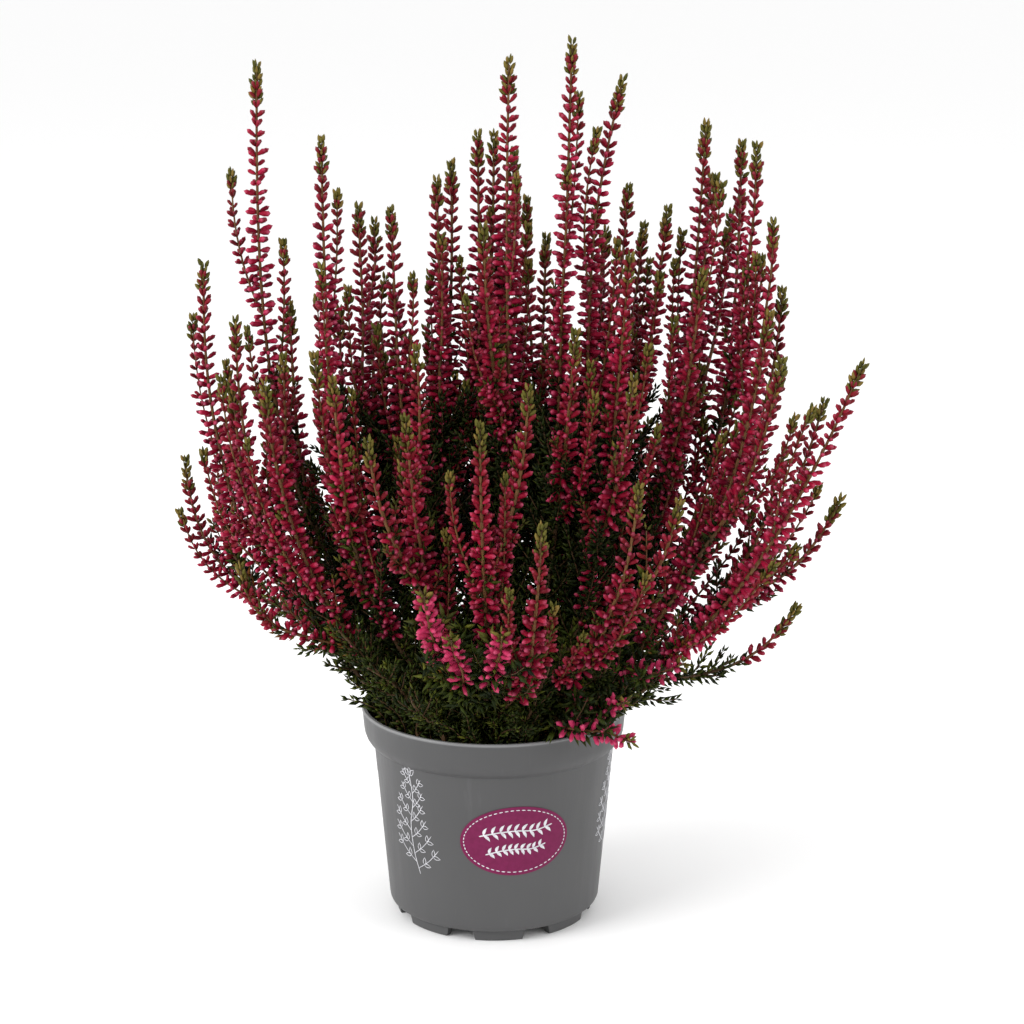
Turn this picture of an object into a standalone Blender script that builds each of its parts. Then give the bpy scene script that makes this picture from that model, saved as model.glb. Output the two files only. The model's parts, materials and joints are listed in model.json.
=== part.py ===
# Potted heather: a flowering bush in a grey plastic pot.
# Units are metres, +Z is up and the floor is z = 0. The pot's axis is the Z axis.
# The front of the plant faces -Y.

import math
import random

import bmesh
import bpy
import numpy as np

MM = 0.001

# Pot
POT_HEIGHT = 0.0977
POT_RIM_RADIUS = 0.0600
POT_BODY_TOP_RADIUS = 0.0546
POT_BODY_FOOT_RADIUS = 0.0480
POT_WALL = 0.0012
FOOT_RING_OUTER_RADIUS = 0.0430
FOOT_RING_INNER_RADIUS = 0.0402
FLOOR_UNDERSIDE = 0.0060
FOOT_NOTCHES = 8
FOOT_NOTCH_WIDTH = 0.0130
FOOT_NOTCH_HEIGHT = 0.0048
FOOT_TURN = math.radians(25.5)
DRAIN_HOLES = 5
DRAIN_HOLE_RADIUS = 0.0040
DRAIN_CIRCLE_RADIUS = 0.0250

# Compost
SOIL_TOP = 0.0905
SOIL_DOME = 0.0030
STEM_HOLE_RADIUS = 0.0021
STEM_HOLE_DEPTH = 0.0125

# Stems, in millimetres from here on
ROOT_DEPTH = 11.0
STEM_RADIUS = 1.25
FORK_RADIUS = 1.7
VALLEY_RADIUS = 1.25
BUD_REACH = 6.2
LEAF_REACH = 4.4
TIP_REACH = 2.3
GREEN_TIP = 13.0
MAIN_FLOWER = 165.0
SIDE_FLOWER = 118.0
BUD_PITCH = 9.6
LEAF_PITCH = 15.0
SHOOT_REACH = 5.6
SHOOT_PITCH = 6.0
CLEAR_GAP = 1.3
SAMPLES = 30
FOOT_PULL = 0.36
TIP_PULL = 0.55

# Tips of the flowering sprays that the front shows: across, deep, high, and the lean
# from upright in degrees. The first of each list is the main stem, the rest fork from it.
SPRAYS = [
    [(-102, 10, 381, -2), (-92, 30, 274, 2)],
    [(-128, 15, 294, -3), (-116, 8, 240, 4)],
    [(-148, 84, 190, 4), (-124, 76, 228, 4)],
    [(-112, -10, 273, 0), (-91, -16, 258, 2)],
    [(-74, 0, 350, 0), (-70, 40, 270, 2)],
    [(-60, 25, 318, 2), (-54, 44, 309, 2)],
    [(-45, 15, 318, 2), (-32, -45, 267, 6)],
    [(-25, 18, 331, 2), (-19, 36, 336, 2)],
    [(-7, 27, 350, 3), (0, 47, 348, 4), (9, 38, 342, 5)],
    [(7, 12, 383, 3), (-4, -18, 315, 5)],
    [(15, 60, 317, 4), (24, 72, 298, 6)],
    [(34, 5, 392, 2), (35, -35, 272, 6)],
    [(56, 15, 375, 14)],
    [(51, 55, 304, 5), (68, 52, 306, 6)],
    [(60, 33, 326, 5), (77, 24, 317, 6)],
    [(93, 18, 355, 3), (90, -17, 295, 6)],
    [(97, 37, 330, 4), (108, 53, 312, 4)],
    [(110, 32, 345, 0), (114, 3, 347, 0)],
    [(121, -2, 315, 2), (128, 16, 282, 3)],
    [(151, -78, 266, 22)],
    [(146, 2, 235, 14), (128, -12, 216, 14), (150, -32, 199, 24)],
    [(134, -12, 144, 30)],
    [(82, -46, 131, 62)],
    [(56, -66, 119, 62), (58, -78, 106, 84)],
    [(-36, -65, 241, 8), (-51, -80, 235, 10)],
    [(-5, -82, 242, 8), (15, -60, 253, 6)],
    [(20, -117, 208, 12)],
    [(59, -15, 302, 5), (59, -58, 257, 8)],
    [(60, -94, 219, 10), (77, -84, 210, 14)],
    [(118, -30, 279, 8), (120, -62, 265, 10)],
    [(-17, -97, 156, 40), (4, -101, 159, 30), (-28, -94, 174, 20)],
    [(-77, -20, 259, 5), (-68, -42, 253, 6)],
    [(-98, -27, 249, 5), (-111, -24, 166, 8)],
]

# Sprays behind, which the front hides, set by a rule
BACK_SPRAYS = 8
BACK_REACHES = [66.0, 100.0, 118.0]

# Short green shoots between the stems and over the rim, set by a rule
SHOOTS = 13
SHOOT_CIRCLE = 50.5

CRIMSON = (0.42, 0.030, 0.070)
LEAF_GREEN = (0.060, 0.105, 0.022)
POT_GREY = (0.175, 0.175, 0.180)
COMPOST_BROWN = (0.030, 0.019, 0.012)


for old in list(bpy.data.objects):
    bpy.data.objects.remove(old, do_unlink=True)

scene = bpy.context.scene
part_collection = bpy.data.collections.new("potted_heather")
scene.collection.children.link(part_collection)
cutter_collection = bpy.data.collections.new("cutters")
scene.collection.children.link(cutter_collection)


def make_material(name, color, roughness):
    material = bpy.data.materials.new(name)
    material.use_nodes = True
    shader = material.node_tree.nodes["Principled BSDF"]
    shader.inputs["Base Color"].default_value = (color[0], color[1], color[2], 1.0)
    shader.inputs["Roughness"].default_value = roughness
    shader.inputs["Metallic"].default_value = 0.0
    material.diffuse_color = (color[0], color[1], color[2], 1.0)
    return material


def object_from_rings(name, vertices, faces, collection):
    mesh = bpy.data.meshes.new(name)
    mesh.from_pydata(vertices, [], faces)
    mesh.update()
    obj = bpy.data.objects.new(name, mesh)
    collection.objects.link(obj)
    return obj


def apply_modifiers(obj):
    bpy.context.view_layer.update()
    graph = bpy.context.evaluated_depsgraph_get()
    mesh = bpy.data.meshes.new_from_object(obj.evaluated_get(graph))
    obj.modifiers.clear()
    old = obj.data
    obj.data = mesh
    bpy.data.meshes.remove(old)
    mesh.name = obj.name


def outward(mesh, weld=0.000002):
    work = bmesh.new()
    work.from_mesh(mesh)
    if weld > 0.0:
        bmesh.ops.remove_doubles(work, verts=work.verts, dist=weld)
    bmesh.ops.recalc_face_normals(work, faces=work.faces)
    work.to_mesh(mesh)
    work.free()
    mesh.update()


def revolve(name, profile, steps, collection):
    """Turn a closed half section, given as (radius, height), about the Z axis."""
    mesh = bpy.data.meshes.new(name)
    vertices = [(radius, 0.0, height) for radius, height in profile]
    edges = [(i, i + 1) for i in range(len(profile) - 1)]
    mesh.from_pydata(vertices, edges, [])
    obj = bpy.data.objects.new(name, mesh)
    collection.objects.link(obj)
    screw = obj.modifiers.new("Screw", "SCREW")
    screw.axis = "Z"
    screw.angle = math.tau
    screw.steps = steps
    screw.render_steps = steps
    screw.use_merge_vertices = True
    screw.merge_threshold = 0.00001
    apply_modifiers(obj)
    outward(obj.data)
    return obj


def cut(target, cutters, solver):
    for cutter in cutters:
        cutter.hide_render = True
        cutter.display_type = "WIRE"
    holder = bpy.data.collections.new(target.name + "_cutters")
    cutter_collection.children.link(holder)
    for cutter in cutters:
        cutter_collection.objects.unlink(cutter)
        holder.objects.link(cutter)
    boolean = target.modifiers.new("Cut", "BOOLEAN")
    boolean.operation = "DIFFERENCE"
    boolean.operand_type = "COLLECTION"
    boolean.collection = holder
    boolean.solver = solver
    apply_modifiers(target)
    for cutter in cutters:
        bpy.data.objects.remove(cutter, do_unlink=True)
    bpy.data.collections.remove(holder)


def prism(name, sides, radius, low, high, x, y, collection):
    """An upright prism with its foot at height low and its top at height high."""
    vertices = []
    for height in (low, high):
        for k in range(sides):
            angle = math.tau * k / sides
            vertices.append((x + radius * math.cos(angle), y + radius * math.sin(angle), height))
    faces = [tuple(reversed(range(sides))), tuple(range(sides, 2 * sides))]
    for k in range(sides):
        n = (k + 1) % sides
        faces.append((k, n, sides + n, sides + k))
    return object_from_rings(name, vertices, faces, collection)


# Where the stems go.

def unit(vector):
    return vector / max(1e-9, float(np.linalg.norm(vector)))


def bezier(points, count):
    t = np.linspace(0.0, 1.0, count)[:, None]
    a, b, c, d = points
    return (1 - t) ** 3 * a + 3 * (1 - t) ** 2 * t * b + 3 * (1 - t) * t * t * c + t ** 3 * d


def measured(path):
    """Distance from the foot at each point of the path, and the whole length."""
    step = np.linalg.norm(np.diff(path, axis=0), axis=1)
    along = np.concatenate([[0.0], np.cumsum(step)])
    return along, float(along[-1])


def even(path, count):
    """The same path with its points at equal steps along it."""
    along, whole = measured(path)
    wanted = np.linspace(0.0, whole, count)
    return np.stack([np.interp(wanted, along, path[:, k]) for k in range(3)], axis=1)


def plan_sprays():
    """All sprays as lists of tips: the ones in front by hand, the ones behind by a rule."""
    rng = random.Random(21)
    sprays = [list(tips) for tips in SPRAYS]
    for k in range(BACK_SPRAYS):
        angle = math.radians(14.0 + 152.0 * (k + 0.5) / BACK_SPRAYS)
        reach = BACK_REACHES[(2 * k) % 3]
        high = 322.0 - 0.78 * reach + rng.uniform(-8.0, 8.0)
        tips = []
        for side in (0, 1, -1):
            turn = angle + side * 17.0 / reach
            out = reach - abs(side) * rng.uniform(2.0, 12.0)
            drop = abs(side) * rng.uniform(16.0, 34.0)
            lean = 6.0 + 20.0 * reach / 120.0
            tips.append((out * math.cos(turn), out * math.sin(turn), high - drop, lean))
        sprays.append(tips)
    return sprays


def spread_roots(wanted, gap, reach):
    """Push the stems' feet apart until they are gap apart, and keep them within reach."""
    feet = np.array(wanted, dtype=float)
    for _ in range(200):
        away = feet[:, None, :] - feet[None, :, :]
        far = np.linalg.norm(away, axis=2) + 1e-9
        push = np.clip(gap - far, 0.0, None)
        np.fill_diagonal(push, 0.0)
        feet += 0.25 * (away / far[:, :, None] * push[:, :, None]).sum(axis=1)
        out = np.linalg.norm(feet, axis=1)
        feet *= np.where(out > reach, reach / np.maximum(out, 1e-9), 1.0)[:, None]
    return feet


def soil_height(out):
    """The compost's height in millimetres at a distance from the pot's axis."""
    return SOIL_TOP / MM + SOIL_DOME / MM * (1.0 - min(1.0, out / 57.0) ** 2)


def stem_toward(foot, start, tip, lean):
    tip_point = np.array(tip[:3], dtype=float)
    out = unit(np.array([tip_point[0], tip_point[1], 0.0]))
    heading = out * math.sin(math.radians(lean)) + np.array([0.0, 0.0, math.cos(math.radians(lean))])
    span = float(np.linalg.norm(tip_point - foot))
    low_pull = foot + start * FOOT_PULL * span
    high_pull = tip_point - heading * TIP_PULL * span
    return bezier((foot, low_pull, high_pull, tip_point), 90)


def plan_stems():
    """Every flowering stem: its spray, parent, fork place, path and length in flower."""
    sprays = plan_sprays()
    wanted = []
    for tips in sprays:
        out = math.hypot(tips[0][0], tips[0][1])
        share = (9.0 + 36.0 * min(1.0, out / 150.0)) / max(out, 1.0)
        wanted.append((tips[0][0] * share, tips[0][1] * share))
    feet = spread_roots(wanted, 10.5, 44.0)
    stems = []
    for spray, tips in enumerate(sprays):
        foot = np.array([feet[spray][0], feet[spray][1], 0.0])
        foot[2] = soil_height(math.hypot(foot[0], foot[1]))
        out = unit(np.array([tips[0][0], tips[0][1], 0.0]))
        low = min(1.0, max(0.0, (230.0 - tips[0][2]) / 120.0))
        spread = math.hypot(tips[0][0], tips[0][1]) / 150.0
        start = unit(np.array([0.0, 0.0, 1.0]) + out * (0.06 + 0.90 * spread * (1.0 - low) + 0.20 * low))
        main = even(stem_toward(foot, start, tips[0], tips[0][3]), SAMPLES)
        flower = min(MAIN_FLOWER, 0.66 * measured(main)[1])
        parent = len(stems)
        stems.append({"spray": spray, "parent": -1, "fork": 0, "path": main, "flower": flower})
        for tip in tips[1:]:
            top = min(tips[0][2], tip[2])
            fork_height = foot[2] + max(9.0, 0.42 * (top - foot[2]) - 6.0)
            above = np.nonzero(main[:, 2] >= fork_height)[0]
            fork = int(above[0]) if len(above) else SAMPLES // 3
            fork = min(max(fork, 3), SAMPLES - 8)
            tangent = unit(main[fork + 1] - main[fork - 1])
            toward = unit(np.array(tip[:3]) - main[fork])
            side = even(stem_toward(main[fork], unit(tangent + 0.7 * toward), tip, tip[3]), SAMPLES)
            flower = min(SIDE_FLOWER, 0.72 * measured(side)[1])
            stems.append({"spray": spray, "parent": parent, "fork": fork, "path": side, "flower": flower})
    return stems


def plan_shoots(stems):
    """Short green shoots near the rim, each turned to the widest gap near its place."""
    rng = random.Random(3)
    feet = [stem["path"][0] for stem in stems if stem["parent"] < 0]
    shoots = []
    for k in range(SHOOTS):
        best = None
        for turn in np.linspace(-0.20, 0.20, 9):
            angle = math.tau * (k + 0.5) / SHOOTS + turn - math.pi / 2.0
            place = (SHOOT_CIRCLE * math.cos(angle), SHOOT_CIRCLE * math.sin(angle))
            room = min(math.hypot(place[0] - f[0], place[1] - f[1]) for f in feet)
            if best is None or room > best[0]:
                best = (room, angle, place)
        angle, place = best[1], best[2]
        foot = np.array([place[0], place[1], soil_height(SHOOT_CIRCLE)])
        reach = rng.uniform(68.0, 84.0)
        high = rng.uniform(122.0, 146.0)
        tip = (reach * math.cos(angle), reach * math.sin(angle), high, rng.uniform(30.0, 60.0))
        path = even(stem_toward(foot, np.array([0.0, 0.0, 1.0]), tip, tip[3]), SAMPLES)
        shoots.append({"spray": 1000 + k, "parent": -1, "fork": 0, "path": path, "flower": 0.0})
    return shoots


def sample_radii(stem):
    """How far the buds or leaves reach from the stem at each sample of its path."""
    length = measured(stem["path"])[1]
    left = np.linspace(length, 0.0, SAMPLES)
    radii = np.full(SAMPLES, LEAF_REACH + 0.4)
    radii[left < stem["flower"]] = BUD_REACH + 0.3
    radii[left < GREEN_TIP] = TIP_REACH + 0.8
    if stem["spray"] >= 1000:
        radii[:] = SHOOT_REACH
        radii[left < 8.0] = 2.8
    if stem["parent"] < 0:
        radii[0] = STEM_RADIUS
        radii[1] = min(radii[1], 2.4)
    return radii


def bend_clear(stems, rounds):
    """Bend the stems sideways until no spray crosses another one or the pot's rim."""
    paths = np.stack([stem["path"] for stem in stems])
    radii = np.stack([sample_radii(stem) for stem in stems])
    sprays = np.array([stem["spray"] for stem in stems])
    count = len(stems)
    owner = np.repeat(np.arange(count), SAMPLES)
    spray = sprays[owner]
    index = np.tile(np.arange(SAMPLES), count)
    children = [(k, stem["parent"], stem["fork"]) for k, stem in enumerate(stems) if stem["parent"] >= 0]
    fade = np.linspace(1.0, 0.0, SAMPLES)[:, None] ** 1.5
    other = spray[:, None] != spray[None, :]
    same = (spray[:, None] == spray[None, :]) & (owner[:, None] != owner[None, :])
    same &= (index[:, None] > 9) & (index[None, :] > 9)
    allowed = other | same
    reach = radii.reshape(-1)
    need = reach[:, None] + reach[None, :] + CLEAR_GAP
    need = np.where(same, 0.75 * need, need)
    first, second = np.nonzero(np.triu(allowed))
    need = need[first, second]
    free = np.ones((count, SAMPLES))
    free[:, 0] = 0.0
    free[:, 1] = 0.3
    free[:, -4:] = 0.6
    for number in range(rounds):
        points = paths.reshape(-1, 3)
        if number % 12 == 0:
            gaps = np.linalg.norm(points[first] - points[second], axis=1)
            near = gaps < need + 12.0
            one, two, wanted = first[near], second[near], need[near]
        away = points[one] - points[two]
        far = np.linalg.norm(away, axis=1) + 1e-9
        push = away * (0.28 * np.clip(wanted - far, 0.0, None) / far)[:, None]
        move = np.zeros_like(points)
        for axis in range(3):
            move[:, axis] = (np.bincount(one, push[:, axis], len(points))
                             - np.bincount(two, push[:, axis], len(points)))
        move = np.clip(move, -2.0, 2.0).reshape(count, SAMPLES, 3)
        out = np.linalg.norm(paths[:, :, :2], axis=2)
        high = paths[:, :, 2]
        rim = (high < POT_HEIGHT / MM + radii + 1.2) & (out > 55.8 - radii)
        outside = rim & (out > 60.0)
        inside = rim & ~outside
        move[:, :, 2] += np.where(outside, 0.8, 0.0)
        inward = -paths[:, :, :2] / out[:, :, None]
        move[:, :, :2] += np.where(inside, np.clip(out - 55.8 + radii, 0.0, 1.2), 0.0)[:, :, None] * inward
        move[:, :, 2] += np.where(inside & (out > 52.0), 0.5, 0.0)
        move *= free[:, :, None]
        for _ in range(2):
            inner = 0.5 * move[:, 1:-1] + 0.25 * (move[:, :-2] + move[:, 2:])
            move[:, 1:-1] = inner
        for k, parent, fork in children:
            move[k] += fade * (move[parent, fork] - move[k, 0])
        paths = paths + move
    for k, stem in enumerate(stems):
        stem["forks"] = []
        stem["path"] = even(paths[k], SAMPLES)
        stem["fork_point"] = paths[k][0]
    for k, parent, fork in children:
        place = stems[k]["fork_point"]
        stems[k]["path"][0] = place
        along, whole = measured(stems[parent]["path"])
        fine = np.linspace(0.0, whole, 400)
        spots = np.stack([np.interp(fine, along, stems[parent]["path"][:, axis]) for axis in range(3)], axis=1)
        nearest = int(np.argmin(np.linalg.norm(spots - place, axis=1)))
        stems[parent]["forks"].append(float(fine[nearest]))


# From a path to a closed solid with its buds or leaves.

def path_at(path, along, distance):
    return np.array([np.interp(distance, along, path[:, k]) for k in range(3)])


def stem_rings(stem, rng):
    """Places along the stem from foot to tip: distance, reach of the points, lift of the points."""
    length = measured(stem["path"])[1]
    rings = []
    distance = length - 4.0
    rings.append((distance, TIP_REACH * 0.8, 2.0))
    distance -= 5.0
    rings.append((distance, TIP_REACH, 2.0))
    flower_end = length - stem["flower"]
    if stem["spray"] >= 1000:
        while distance > 9.0:
            distance -= SHOOT_PITCH * rng.uniform(0.9, 1.1)
            rings.append((distance, SHOOT_REACH * rng.uniform(0.8, 1.0), 2.6))
        return list(reversed([ring for ring in rings if ring[0] > 3.5]))
    distance -= 1.0
    while distance > flower_end + 3.0:
        distance -= BUD_PITCH * rng.uniform(0.94, 1.06)
        gone = length - distance
        full = min(1.0, 0.62 + 0.38 * (gone - GREEN_TIP) / 30.0)
        low = max(0.0, 1.0 - (distance - flower_end) / 20.0)
        reach = BUD_REACH * full * (1.0 - 0.18 * low) * rng.uniform(0.9, 1.03)
        rings.append((distance, reach, 2.6 - 2.0 * min(1.0, gone / 90.0)))
    while distance > 9.0 + LEAF_PITCH * 0.6:
        distance -= LEAF_PITCH * rng.uniform(0.92, 1.08)
        rings.append((distance, LEAF_REACH * rng.uniform(0.85, 1.0), 3.0))
    start = 5.0 if stem["parent"] < 0 else 8.0
    rings = [ring for ring in rings if ring[0] > start]
    for fork in stem["forks"]:
        rings = [ring for ring in rings if abs(ring[0] - fork) > 3.4]
    for fork in stem["forks"]:
        rings.append((fork, 0.0, 0.0))
    return sorted(rings)


def stem_solid(name, stem, seed):
    """A closed solid for one stem: a four-cornered ring at each place, two corners out, two in."""
    rng = random.Random(seed)
    path = stem["path"]
    along, length = measured(path)
    outer = path[-1] - path[0]
    if math.hypot(outer[0], outer[1]) < 4.0:
        outer = np.array([1.0, 0.3, 0.0])
    reference = unit(np.cross(np.array([0.0, 0.0, 1.0]), outer))
    turn0 = rng.uniform(0.0, math.tau)
    vertices = []
    faces = []

    def ring(center, tangent, radii, lifts, turn):
        across = unit(reference - tangent * float(reference @ tangent))
        third = np.cross(tangent, across)
        first = len(vertices)
        for k in range(4):
            angle = turn + math.tau * k / 4.0
            point = center + radii[k] * (math.cos(angle) * across + math.sin(angle) * third)
            point = point + tangent * lifts[k]
            vertices.append(tuple(point * MM))
        return first

    def tangent_at(distance):
        low = path_at(path, along, max(0.0, distance - 3.0))
        high = path_at(path, along, min(length, distance + 3.0))
        return unit(high - low)

    up = np.array([0.0, 0.0, 1.0])
    plain = [STEM_RADIUS] * 4
    flat = [0.0] * 4
    rows = []
    if stem["parent"] < 0:
        rows.append(ring(path[0] - up * ROOT_DEPTH, up, plain, flat, turn0))
        rows.append(ring(path[0] + up * 0.8, up, plain, flat, turn0))
    else:
        tangent = tangent_at(1.0)
        rows.append(ring(path[0], tangent, [0.8] * 4, flat, turn0))
        rows.append(ring(path_at(path, along, 4.5), tangent_at(4.5), [1.0] * 4, flat, turn0))
    for number, (distance, reach, lift) in enumerate(stem_rings(stem, rng)):
        center = path_at(path, along, distance)
        tangent = tangent_at(distance)
        if reach == 0.0:
            rows.append(ring(center, tangent, [FORK_RADIUS] * 4, flat, turn0))
            continue
        valley = VALLEY_RADIUS if reach > TIP_REACH else 0.8
        radii = []
        lifts = []
        for k in range(4):
            if (k + number) % 2 == 0:
                radii.append(reach * rng.uniform(0.93, 1.0))
                lifts.append(lift)
            else:
                radii.append(valley)
                lifts.append(0.0)
        rows.append(ring(center, tangent, radii, lifts, turn0 + rng.uniform(-0.25, 0.25)))
    for low, high in zip(rows[:-1], rows[1:]):
        for k in range(4):
            n = (k + 1) % 4
            rising = math.dist(vertices[low + k], vertices[high + n])
            falling = math.dist(vertices[low + n], vertices[high + k])
            if rising < falling:
                faces.append((low + k, low + n, high + n))
                faces.append((low + k, high + n, high + k))
            else:
                faces.append((low + k, low + n, high + k))
                faces.append((low + n, high + n, high + k))
    foot = rows[0]
    faces.append((foot + 2, foot + 1, foot))
    faces.append((foot + 3, foot + 2, foot))
    top = len(vertices)
    vertices.append(tuple(path[-1] * MM))
    last = rows[-1]
    for k in range(4):
        faces.append((last + k, last + (k + 1) % 4, top))
    return object_from_rings(name, vertices, faces, part_collection)


def fuse(target, others):
    """One Boolean union of the side stems into the main stem."""
    holder = bpy.data.collections.new(target.name + "_sides")
    scene.collection.children.link(holder)
    for other in others:
        part_collection.objects.unlink(other)
        holder.objects.link(other)
    boolean = target.modifiers.new("Fuse", "BOOLEAN")
    boolean.operation = "UNION"
    boolean.operand_type = "COLLECTION"
    boolean.collection = holder
    boolean.solver = "MANIFOLD"
    apply_modifiers(target)
    for other in others:
        bpy.data.objects.remove(other, do_unlink=True)
    bpy.data.collections.remove(holder)
    outward(target.data, 0.0)


# Pot.

grey = make_material("pot_plastic", POT_GREY, 0.42)
brown = make_material("compost", COMPOST_BROWN, 0.95)
crimson = make_material("heather_flowers", CRIMSON, 0.55)
green = make_material("heather_leaves", LEAF_GREEN, 0.60)

inner_top = POT_BODY_TOP_RADIUS - POT_WALL
inner_foot = POT_BODY_FOOT_RADIUS - POT_WALL
floor_top = FLOOR_UNDERSIDE + POT_WALL
pot_profile = [
    (0.0, floor_top),
    (inner_foot - 0.0026, floor_top),
    (inner_foot, 0.0098),
    (inner_top, 0.0798),
    (0.0571, 0.0840),
    (0.0581, 0.0872),
    (0.0586, 0.0930),
    (0.0587, 0.0970),
    (0.0593, POT_HEIGHT),
    (POT_RIM_RADIUS - 0.0001, POT_HEIGHT - 0.0002),
    (POT_RIM_RADIUS + 0.0001, POT_HEIGHT - 0.0012),
    (POT_RIM_RADIUS - 0.0003, POT_HEIGHT - 0.0024),
    (0.0591, 0.0872),
    (0.0584, 0.0846),
    (0.0566, 0.0820),
    (POT_BODY_TOP_RADIUS, 0.0802),
    (POT_BODY_FOOT_RADIUS + 0.0002, 0.0085),
    (0.0470, 0.0042),
    (0.0446, 0.0012),
    (FOOT_RING_OUTER_RADIUS, 0.0),
    (FOOT_RING_INNER_RADIUS, 0.0),
    (FOOT_RING_INNER_RADIUS - 0.0004, FLOOR_UNDERSIDE),
    (0.0, FLOOR_UNDERSIDE),
]
pot = revolve("pot", pot_profile, 40, part_collection)
pot.data.materials.append(grey)
pot_cutters = []
for k in range(FOOT_NOTCHES):
    angle = FOOT_TURN + math.tau * k / FOOT_NOTCHES
    half = FOOT_NOTCH_WIDTH / 2.0
    corners = [(0.0375, -half * 0.86), (0.0520, -half * 1.14), (0.0520, half * 1.14), (0.0375, half * 0.86)]
    points = []
    for height, spread in ((-0.001, 1.12), (FOOT_NOTCH_HEIGHT, 0.88)):
        for x, y in corners:
            points.append((x * math.cos(angle) - y * spread * math.sin(angle),
                           x * math.sin(angle) + y * spread * math.cos(angle), height))
    sides = [(3, 2, 1, 0), (4, 5, 6, 7), (0, 1, 5, 4), (1, 2, 6, 5), (2, 3, 7, 6), (3, 0, 4, 7)]
    pot_cutters.append(object_from_rings("notch_cutter_%d" % k, points, sides, cutter_collection))
for k in range(DRAIN_HOLES):
    angle = FOOT_TURN + math.tau * (k + 0.5) / DRAIN_HOLES
    pot_cutters.append(prism("drain_cutter_%d" % k, 10, DRAIN_HOLE_RADIUS, 0.004, 0.009,
                             DRAIN_CIRCLE_RADIUS * math.cos(angle), DRAIN_CIRCLE_RADIUS * math.sin(angle),
                             cutter_collection))
cut(pot, pot_cutters, "MANIFOLD")
outward(pot.data)

# The stems' routes, in millimetres.
all_stems = plan_stems()
all_stems = all_stems + plan_shoots(all_stems)
bend_clear(all_stems, 120)

# Compost, with a plain blind hole for each stem.
soil_profile = [(0.0, floor_top + 0.0003), (inner_foot - 0.0034, floor_top + 0.0003), (inner_foot - 0.0006, 0.0102),
                (inner_top - 0.0006, 0.0802), (0.0562, 0.0846), (0.0573, 0.0878)]
for out in (57.0, 50.0, 38.0, 24.0, 10.0, 0.0):
    soil_profile.append((out * MM, soil_height(out) * MM))
soil = revolve("soil", soil_profile, 28, part_collection)
soil.data.materials.append(brown)
hole_cutters = []
for k, stem in enumerate(all_stems):
    if stem["parent"] < 0:
        foot = stem["path"][0]
        top = foot[2] * MM
        hole_cutters.append(prism("hole_cutter_%d" % k, 5, STEM_HOLE_RADIUS, top - STEM_HOLE_DEPTH,
                                  top + 0.004, foot[0] * MM, foot[1] * MM, cutter_collection))
cut(soil, hole_cutters, "MANIFOLD")
outward(soil.data)

# Flowering sprays and green shoots.
made = []
spray_numbers = sorted({stem["spray"] for stem in all_stems})
for spray in spray_numbers:
    members = [(k, stem) for k, stem in enumerate(all_stems) if stem["spray"] == spray]
    if spray >= 1000:
        name = "green_shoot_%02d" % (spray - 1000 + 1)
    else:
        name = "flower_spray_%02d" % (spray + 1)
    main = stem_solid(name, members[0][1], members[0][0])
    sides = []
    for k, stem in members[1:]:
        sides.append(stem_solid("side_%d" % k, stem, k))
    if sides:
        fuse(main, sides)
    else:
        outward(main.data)
    main.data.materials.clear()
    main.data.materials.append(green if spray >= 1000 else crimson)
    made.append(main)

for obj in [pot, soil] + made:
    obj.data.polygons.foreach_set("material_index", [0] * len(obj.data.polygons))
for polygon in pot.data.polygons:
    polygon.use_smooth = abs(polygon.normal.z) < 0.98

root = bpy.data.objects.new("heather_root", None)
part_collection.objects.link(root)
for obj in [pot, soil] + made:
    obj.parent = root
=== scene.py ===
import json
import math
import random

import bmesh
import bpy
import numpy as np
from mathutils import Matrix, Vector

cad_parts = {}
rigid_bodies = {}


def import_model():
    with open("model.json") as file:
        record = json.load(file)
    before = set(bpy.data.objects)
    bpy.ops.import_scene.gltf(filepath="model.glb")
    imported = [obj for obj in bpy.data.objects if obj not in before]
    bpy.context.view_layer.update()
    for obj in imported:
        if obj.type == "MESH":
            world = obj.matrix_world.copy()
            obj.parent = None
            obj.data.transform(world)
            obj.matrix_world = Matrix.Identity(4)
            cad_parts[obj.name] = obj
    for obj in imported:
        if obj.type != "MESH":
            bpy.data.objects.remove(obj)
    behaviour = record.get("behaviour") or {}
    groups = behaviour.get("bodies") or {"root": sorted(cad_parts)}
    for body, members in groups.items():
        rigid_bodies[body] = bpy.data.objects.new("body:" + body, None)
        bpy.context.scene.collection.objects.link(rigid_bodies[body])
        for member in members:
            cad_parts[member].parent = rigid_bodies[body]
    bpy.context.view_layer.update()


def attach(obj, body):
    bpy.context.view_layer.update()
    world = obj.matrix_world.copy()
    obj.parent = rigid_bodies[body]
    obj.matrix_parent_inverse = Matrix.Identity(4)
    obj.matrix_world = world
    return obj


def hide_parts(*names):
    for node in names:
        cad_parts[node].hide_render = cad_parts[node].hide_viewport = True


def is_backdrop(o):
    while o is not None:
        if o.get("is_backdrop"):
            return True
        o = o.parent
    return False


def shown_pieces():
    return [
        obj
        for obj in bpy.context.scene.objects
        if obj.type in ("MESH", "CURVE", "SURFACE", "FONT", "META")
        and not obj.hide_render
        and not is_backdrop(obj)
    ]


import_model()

scene = bpy.context.scene
mm = 0.001
print("frame loaded")


# Camera, light and floor.
cameraSetup = {"across": 0.0082, "back": -1.100, "high": 0.4605, "pitchDown": 0.244, "lens": 89.25}
studio = {"world": 1.0, "floorReach": 40.0, "floorColour": (0.97, 0.97, 0.97, 1.0)}
studioLights = [
    {"name": "keyLight", "place": (-1.5, -0.9, 1.2), "aimHigh": 0.18, "size": 1.3, "power": 28.0},
    {"name": "fillLight", "place": (1.6, -0.8, 0.9), "aimHigh": 0.18, "size": 1.2, "power": 9.0},
    {"name": "topLight", "place": (0.1, 0.3, 1.8), "aimHigh": 0.1, "size": 1.4, "power": 3.0},
]

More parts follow.
